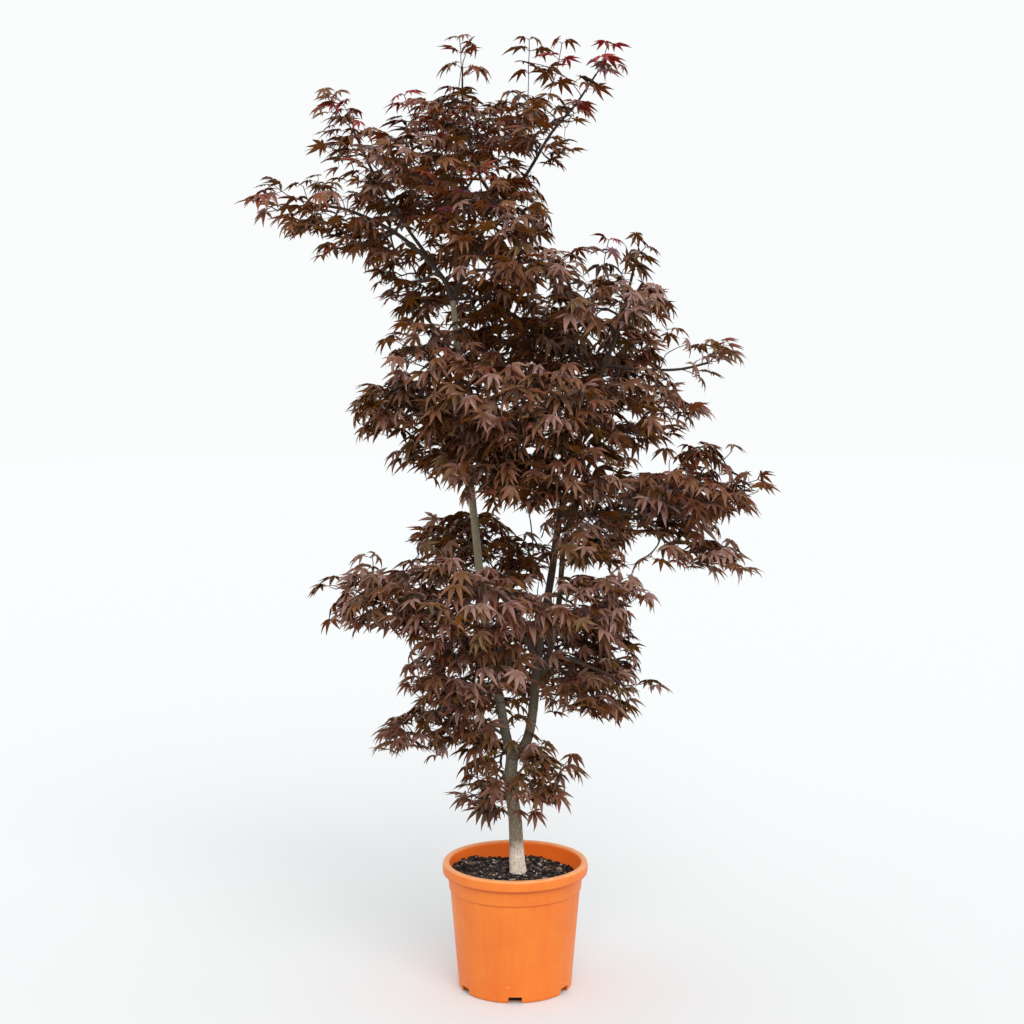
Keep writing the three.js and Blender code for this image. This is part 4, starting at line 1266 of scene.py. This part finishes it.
def leaf_template(r, droop, fold, lobes=7):
    """A palmate leaf as an upper and a lower sheet that share their outline.

    x runs across, y along the middle lobe, z up. The middle lobe is 1 long.
    Returns vertices, triangles, face side (0 upper, 1 lower), which vertices are on the outline, the lobe tips, and
    which faces are painted as the shaded half of a folded lobe.
    """
    ang = LOBE_ANGLES[:lobes] + r.normal(0, 0.07, lobes)
    ang[0] = r.normal(0, 0.05)
    length = LOBE_LENGTHS[:lobes] * r.uniform(0.90, 1.08, lobes)
    order = np.argsort(-ang)                       # from the left lobe round to the right
    ang, length = ang[order], length[order]
    n = lobes
    kap = droop * r.uniform(0.65, 1.35, n)
    scythe = r.normal(0, 0.20, n) + 0.12 * np.sign(ang)
    width = r.uniform(0.112, 0.138, n)

    def place(k, t, w, lift=0.0):
        """A point at the share t of lobe k's length, w to its left, carried round its bend."""
        L = length[k]
        b = kap[k]
        run = L * math.sin(b * t) / b
        fall = L * (1 - math.cos(b * t)) / b
        a = ang[k] + scythe[k] * t * t * 0.5
        # x to the right: an angle to the left is positive
        dx, dy = -math.sin(a), math.cos(a)
        nx, ny = -math.cos(a), -math.sin(a)
        up = math.cos(b * t)
        return np.array([dx * run + nx * w * L, dy * run + ny * w * L, -fall + (abs(w) * L * fold + lift) * up])

    verts, edge_flag = [], []

    def put(p, on_edge):
        verts.append(p)
        edge_flag.append(on_edge)
        return len(verts) - 1

    tris = {0: [], 1: []}
    half = 0.0030
    mids = {}
    for side in (0, 1):
        sgn = half if side == 0 else -half
        centre = put(np.array([0, 0, sgn]), False)
        mids[side] = [centre] + [[put(place(k, t, 0, sgn), False) for t in (0.36, 0.68)] for k in range(n)]
    # the outline: a shared hollow between neighbours, then the lobe's own edge
    hollow = []
    for k in range(n + 1):
        if k == 0:
            a = min(ang[0] + 0.60, math.pi - 0.12)
            rad = 0.070
        elif k == n:
            a = max(ang[n - 1] - 0.60, -math.pi + 0.12)
            rad = 0.070
        else:
            a = (ang[k - 1] + ang[k]) / 2
            rad = 0.215 * (length[k - 1] + length[k]) / 2
        b = droop * 0.8
        x, y = -math.sin(a) * math.sin(b * rad) / b, math.cos(a) * math.sin(b * rad) / b
        hollow.append(put(np.array([x, y, -(1 - math.cos(b * rad)) / b + 0.045 * fold * 2]), True))
    tips = []
    shaded_halves = {0: [], 1: []}
    for k in range(n):
        # painted shade: about a third of the upper half-lobes are marked to take a darker tint, standing in for the
        # shaded side of the fold
        shaded_side = r.uniform(size=2) < (0.34, 0.34)
        edge = ((0.44, 0.97), (0.74, 0.46))
        left = [hollow[k]] + [put(place(k, t, w * width[k]), True) for t, w in edge]
        right = [hollow[k + 1]] + [put(place(k, t, -w * width[k]), True) for t, w in edge]
        tip = put(place(k, 1.0, 0), True)
        tips.append(tip)
        for side in (0, 1):
            c, (m1, m2) = mids[side][0], mids[side][1 + k]
            fan = []
            for e, flip in ((left, False), (right, True)):
                strip = [(c, e[0], m1), (e[0], e[1], m1), (e[1], m2, m1), (e[1], e[2], m2), (e[2], tip, m2)]
                fan += [t[::-1] if flip else t for t in strip]
            shaded_halves[side] += [bool(shaded_side[0]) and side == 0] * 5 + [bool(shaded_side[1]) and side == 0] * 5
            # seen from above, the left side strips above run clockwise
            tris[side] += [t[::-1] for t in fan] if side == 0 else fan
    faces = np.array(tris[0] + tris[1])
    sides = np.array([0] * len(tris[0]) + [1] * len(tris[1]))
    verts = np.array(verts)
    return verts, faces, sides, np.array(edge_flag), verts[tips], np.array(shaded_halves[0] + shaded_halves[1])


TEMPLATES = []                                       # the flattest come first
for k in range(20):
    r = np.random.default_rng(300 + k)
    TEMPLATES.append(leaf_template(r, droop=0.28 + 0.74 * k / 19, fold=r.uniform(0.42, 1.00), lobes=5 if k % 4 == 1 else 7))

# upper face, lower face: plain tints dealt out spray by spray. The lower faces are painted warmer and brighter
# orange-brown, standing in for light shining through the leaf; the pale greyish upper faces of dusty, mauve and rose
# are leaf colour that partly stands in for a painted grey sheen
TINTS = {
    "dusty": ((141, 105, 90), (118, 74, 36)),
    "mauve": ((145, 110, 103), (114, 70, 40)),
    "plum": ((118, 76, 61), (116, 68, 29)),
    "maroon": ((110, 60, 43), (121, 64, 27)),
    "umber": ((108, 71, 42), (122, 76, 26)),
    "dark": ((52, 32, 19), (76, 45, 15)),
    "olive": ((101, 79, 46), (110, 78, 31)),
    "rust": ((124, 79, 52), (130, 76, 30)),
    "copper": ((138, 57, 36), (134, 57, 28)),
    "red": ((144, 38, 38), (146, 44, 32)),
    "crimson": ((158, 36, 52), (158, 42, 48)),
    "rose": ((152, 116, 106), (122, 76, 50)),
    "violet": ((128, 84, 90), (118, 58, 64)),
}
TINT_NAMES = list(TINTS)
# painted shade: the tint a marked half-lobe takes, mostly a darker neighbour, standing in for the shaded side of a
# folded lobe
FOLD_SHADE_TINT = {"dusty": "plum", "mauve": "plum", "plum": "umber", "maroon": "umber", "umber": "dark", "dark": "dark", "olive": "umber", "rust": "umber",
             "copper": "rust", "red": "crimson", "crimson": "red", "rose": "dusty", "violet": "plum"}


def deal_tint(r, p, outer):
    """The tint of a spray: redder towards the top and the tips, dusty in front, olive at the foot, and dark inside as
    painted shade.
    """
    high = np.clip((p[2] - 1.35) / 0.40, 0, 1)
    top = np.clip((p[2] - 1.58) / 0.14, 0, 1)
    low = np.clip((0.64 - p[2]) / 0.14, 0, 1)
    front = np.clip((-p[1] - 0.02) / 0.12, 0, 1)
    pale = np.interp(p[2], [0.50, 0.75, 0.90, 1.10, 1.30, 1.50, 1.70], [0.30, 0.35, -0.05, -0.10, 0.20, 0.10, 0.50])
    pale -= 0.85 * math.exp(-((p[0] - 0.10) / 0.14) ** 2 - ((p[2] - 1.07) / 0.13) ** 2) + 0.15 * (p[0] < 0.02 and 0.95 < p[2] < 1.20)
    pale += 0.45 * np.clip((p[0] - 0.17) / 0.06, 0, 1) * (0.70 < p[2] < 1.22) + 0.20 * (0.50 < p[2] < 0.76)
    pale = max(pale, -0.80)
    soft = (0.45 + 0.95 * front) * (1 - 0.50 * low) * (1 + 1.2 * pale)
    weights = {
        "dusty": 2.2 * (1 - 0.85 * high) * soft, "mauve": 1.5 * (1 - 0.7 * high) * soft, "rose": 1.0 * (1 - 0.85 * high) * soft,
        # painted shade: the dark tint is dealt more often the deeper a spray's tip lies inside its mass
        "plum": 1.9, "maroon": 1.8 + 0.8 * high + 0.9 * front * (0.50 < p[2] < 0.80), "umber": 2.2 * (1 + 0.6 * low), "dark": (1.9 * (1.2 - outer) + 0.3 * high) * max(0.3, 1 - 1.2 * pale),
        "olive": 0.7 * (1 + 1.8 * low) + 0.3 * high, "rust": (1.1 + 0.4 * high) * (1 + 0.8 * pale), "copper": 2.0 * high,
        "red": 1.0 * top * outer, "crimson": 0.40 * top * outer, "violet": 0.5 * high,
    }
    w = np.array([weights[t] for t in TINT_NAMES])
    return int(r.choice(len(TINT_NAMES), p=w / w.sum()))


leaf_rows = []        # position, lateral, direction, normal, size, template, tint, region
petioles = Tubes()


def lay_leaf(node_pos, twig_tan, axis, length, size, tint, region, r, inside=True, clear=True):
    """A leaf stalk leaving the twig on one side, and the blade at its end. Returns whether it was kept."""
    ax = crown_axis(node_pos[2])
    out = node_pos - ax
    out[2] = 0
    out = unit(out + 1e-9)
    stalk = unit(0.50 * twig_tan + 0.85 * axis)
    for attempt in range(4):
        jitter = r.normal(0, 0.16 + 0.10 * attempt, 3)
        d0 = unit(stalk + jitter)
        d1 = unit(d0 * [1, 1, 0.35] + 0.30 * out + [0, 0, 0.08])
        base = node_pos + length * (0.55 * d0 + 0.45 * d1)
        flat = d0 * [1, 1, 0] + 0.55 * out
        flat = unit(flat * [1, 1, 0] + r.normal(0, 0.22, 3) * [1, 1, 0])
        level = np.clip((node_pos[2] - 1.30) / 0.30, 0, 1) if clear else 0.8
        pitch = math.radians(r.normal(11 - 5 * level, 17 - 2 * level) + (8 - 4 * level) * attempt)
        direction = unit(flat * math.cos(pitch) - UP * math.sin(pitch))
        lateral = unit(np.cross(direction, UP))
        normal = np.cross(lateral, direction)
        roll = r.normal(0, 0.36)
        lateral, normal = lateral * math.cos(roll) + normal * math.sin(roll), normal * math.cos(roll) - lateral * math.sin(roll)
        tpl = int(r.integers(10)) if r.uniform() < 0.5 * level else int(r.integers(len(TEMPLATES)))
        tips = TEMPLATES[tpl][4]
        ends = base + size * (tips[:, :1] * lateral + tips[:, 1:2] * direction + tips[:, 2:3] * normal)
        fits = not inside or (crown_depth(base + direction * size * 0.45) > -0.014 and crown_depth(base + direction * size * 0.95) > -0.034)
        fits = fits and ends[:, 1].max() < 0.3115 and ends[:, 1].min() > -0.3135
        if fits and not (clear and in_the_open(np.vstack([base, base + direction * size * 0.5, ends]))):
            break
        length *= 0.80
        size *= 0.95
    else:
        return False
    # the stalk
    t = np.linspace(0, 1, 3)[:, None]
    end_dir = unit(d1 * 0.6 + direction * 0.5)
    h = length * 0.9
    path = ((2 * t ** 3 - 3 * t ** 2 + 1) * node_pos + (t ** 3 - 2 * t ** 2 + t) * d0 * h + (-2 * t ** 3 + 3 * t ** 2) * base + (t ** 3 - t ** 2) * end_dir * h)
    petioles.add(path, np.array([0.00090, 0.00060, 0.00062]), 3, 0 if r.uniform() < 0.80 else 1)
    leaf_rows.append((base, lateral, direction, normal, size, tpl, tint, region))
    return True


GROWN = ("grown", "reach", "short")


def leaf_the_twigs():
    r = np.random.default_rng(5150)
    spray_tint = {}
    for node, chain, foot, mass_name, kind in chains:
        region = masses[mass_name].region
        pos = T_pos[chain]
        tan = T_tan[chain]
        rad = T_rad[chain]
        tip = pos[-1]
        outer = 1 - np.clip(masses[mass_name].depth(tip) / 0.05, 0, 1)
        s = np.concatenate([[0], np.cumsum(np.linalg.norm(np.diff(pos, axis=0), axis=1))])
        total = s[-1]
        if kind in GROWN:
            sp = twigs.spray[node]
            if sp not in spray_tint:
                spray_tint[sp] = deal_tint(r, tip, outer)
            spacing = r.uniform(0.032, 0.041)
            phi = r.uniform(0, TAU)
            pairs = []
            high = np.clip((tip[2] - 1.38) / 0.25, 0, 1)
            for j in range(2 if kind == "short" else 4):
                size = (0.72, 0.88, 1.0, 1.0)[j] * (1 - 0.20 * high)
                pairs.append((j * spacing, size, spray_tint[sp], phi + j * math.pi / 2 + r.normal(0, 0.25)))
        else:
            pairs = [(back * 0.001, size, TINT_NAMES.index(tint), turn * math.pi / 2 + r.normal(0, 0.12)) for back, size, tint, turn in kind]
        for j, (back, size, tint, ang) in enumerate(pairs):
            if back > total + 0.001:
                break
            k = int(np.argmin(np.abs(s - (total - back))))
            if rad[k] > 0.0030 and kind in GROWN:
                break
            t = tan[k]
            if kind in GROWN:
                a = unit(np.cross(t, UP) if abs(t[2]) < 0.95 else np.cross(t, [0, 1.0, 0]))
                b = np.cross(a, t)
            else:
                a = unit(np.array([1.0, 0, 0]) - t * t[0])
                b = np.cross(t, a)
            axis = a * math.cos(ang) + b * math.sin(ang)
            if kind in GROWN:
                axis = unit(axis * [1, 1, 0.5])          # the pairs turn to lie level
            for sgn in (1, -1):
                if kind == "grown" and j > 1 and r.uniform() < 0.15:
                    continue
                length = r.uniform(0.016, 0.026) if j == 0 else r.uniform(0.022, 0.040)
                blade = 0.0552 * size * r.uniform(0.86, 1.14)
                tt = tint
                if kind in GROWN and r.uniform() < 0.42:
                    tt = deal_tint(r, tip, outer)
                shoot = kind not in GROWN
                if lay_leaf(pos[k], t, sgn * axis, length * (0.48 if shoot else 1), blade * (0.90 if shoot else 1), tt, region, r, inside=kind in ("grown", "short"), clear=not shoot):
                    wanted[chain[k]] = True


leaf_the_twigs()
mesh_twigs()


def build_leaves():
    mats = []
    for nm in TINT_NAMES:
        up, down = TINTS[nm]
        mats.append(leaf_material("leaf_upper_" + nm, up, 0.38, 0.50))
        mats.append(leaf_material("leaf_under_" + nm, down, 0.65, 0.12))
    for region, names in MASS_REGION.items():
        rows = [q for q in leaf_rows if q[7] == region]
        V, F, S, E = [], [], [], []
        base = 0
        for q in rows:
            p, lat, direc, nor, size, tpl, tint, _ = q
            tv, tf, ts, te, _, shaded_half = TEMPLATES[tpl]
            v = p + size * (tv[:, :1] * lat + tv[:, 1:2] * direc + tv[:, 2:3] * nor)
            V.append(v)
            F.append(tf + base)
            # marked half-lobes take their painted-shade tint
            S.append(ts + 2 * np.where(shaded_half, TINT_NAMES.index(FOLD_SHADE_TINT[TINT_NAMES[tint]]), tint))
            E.append(te)
            base += len(tv)
        if not rows:
            continue
        mesh_object("leaves_" + region, np.vstack(V), np.vstack(F), mats, slots=np.concatenate(S), smooth=True, sharp_verts=np.concatenate(E), replaces=names)
        print("leaves", region, len(rows), "triangles", sum(len(f) for f in F))


build_leaves()
petioles.build("leaf_stalks", [leaf_material("stalk_red", (112, 44, 46), 0.55), leaf_material("stalk_pale", (158, 122, 98), 0.55)])
print("twig nodes", len(T_pos), "tips", len(twigs.tips), "leaves", len(leaf_rows), "stalk triangles", sum(len(f) for f in petioles.F))
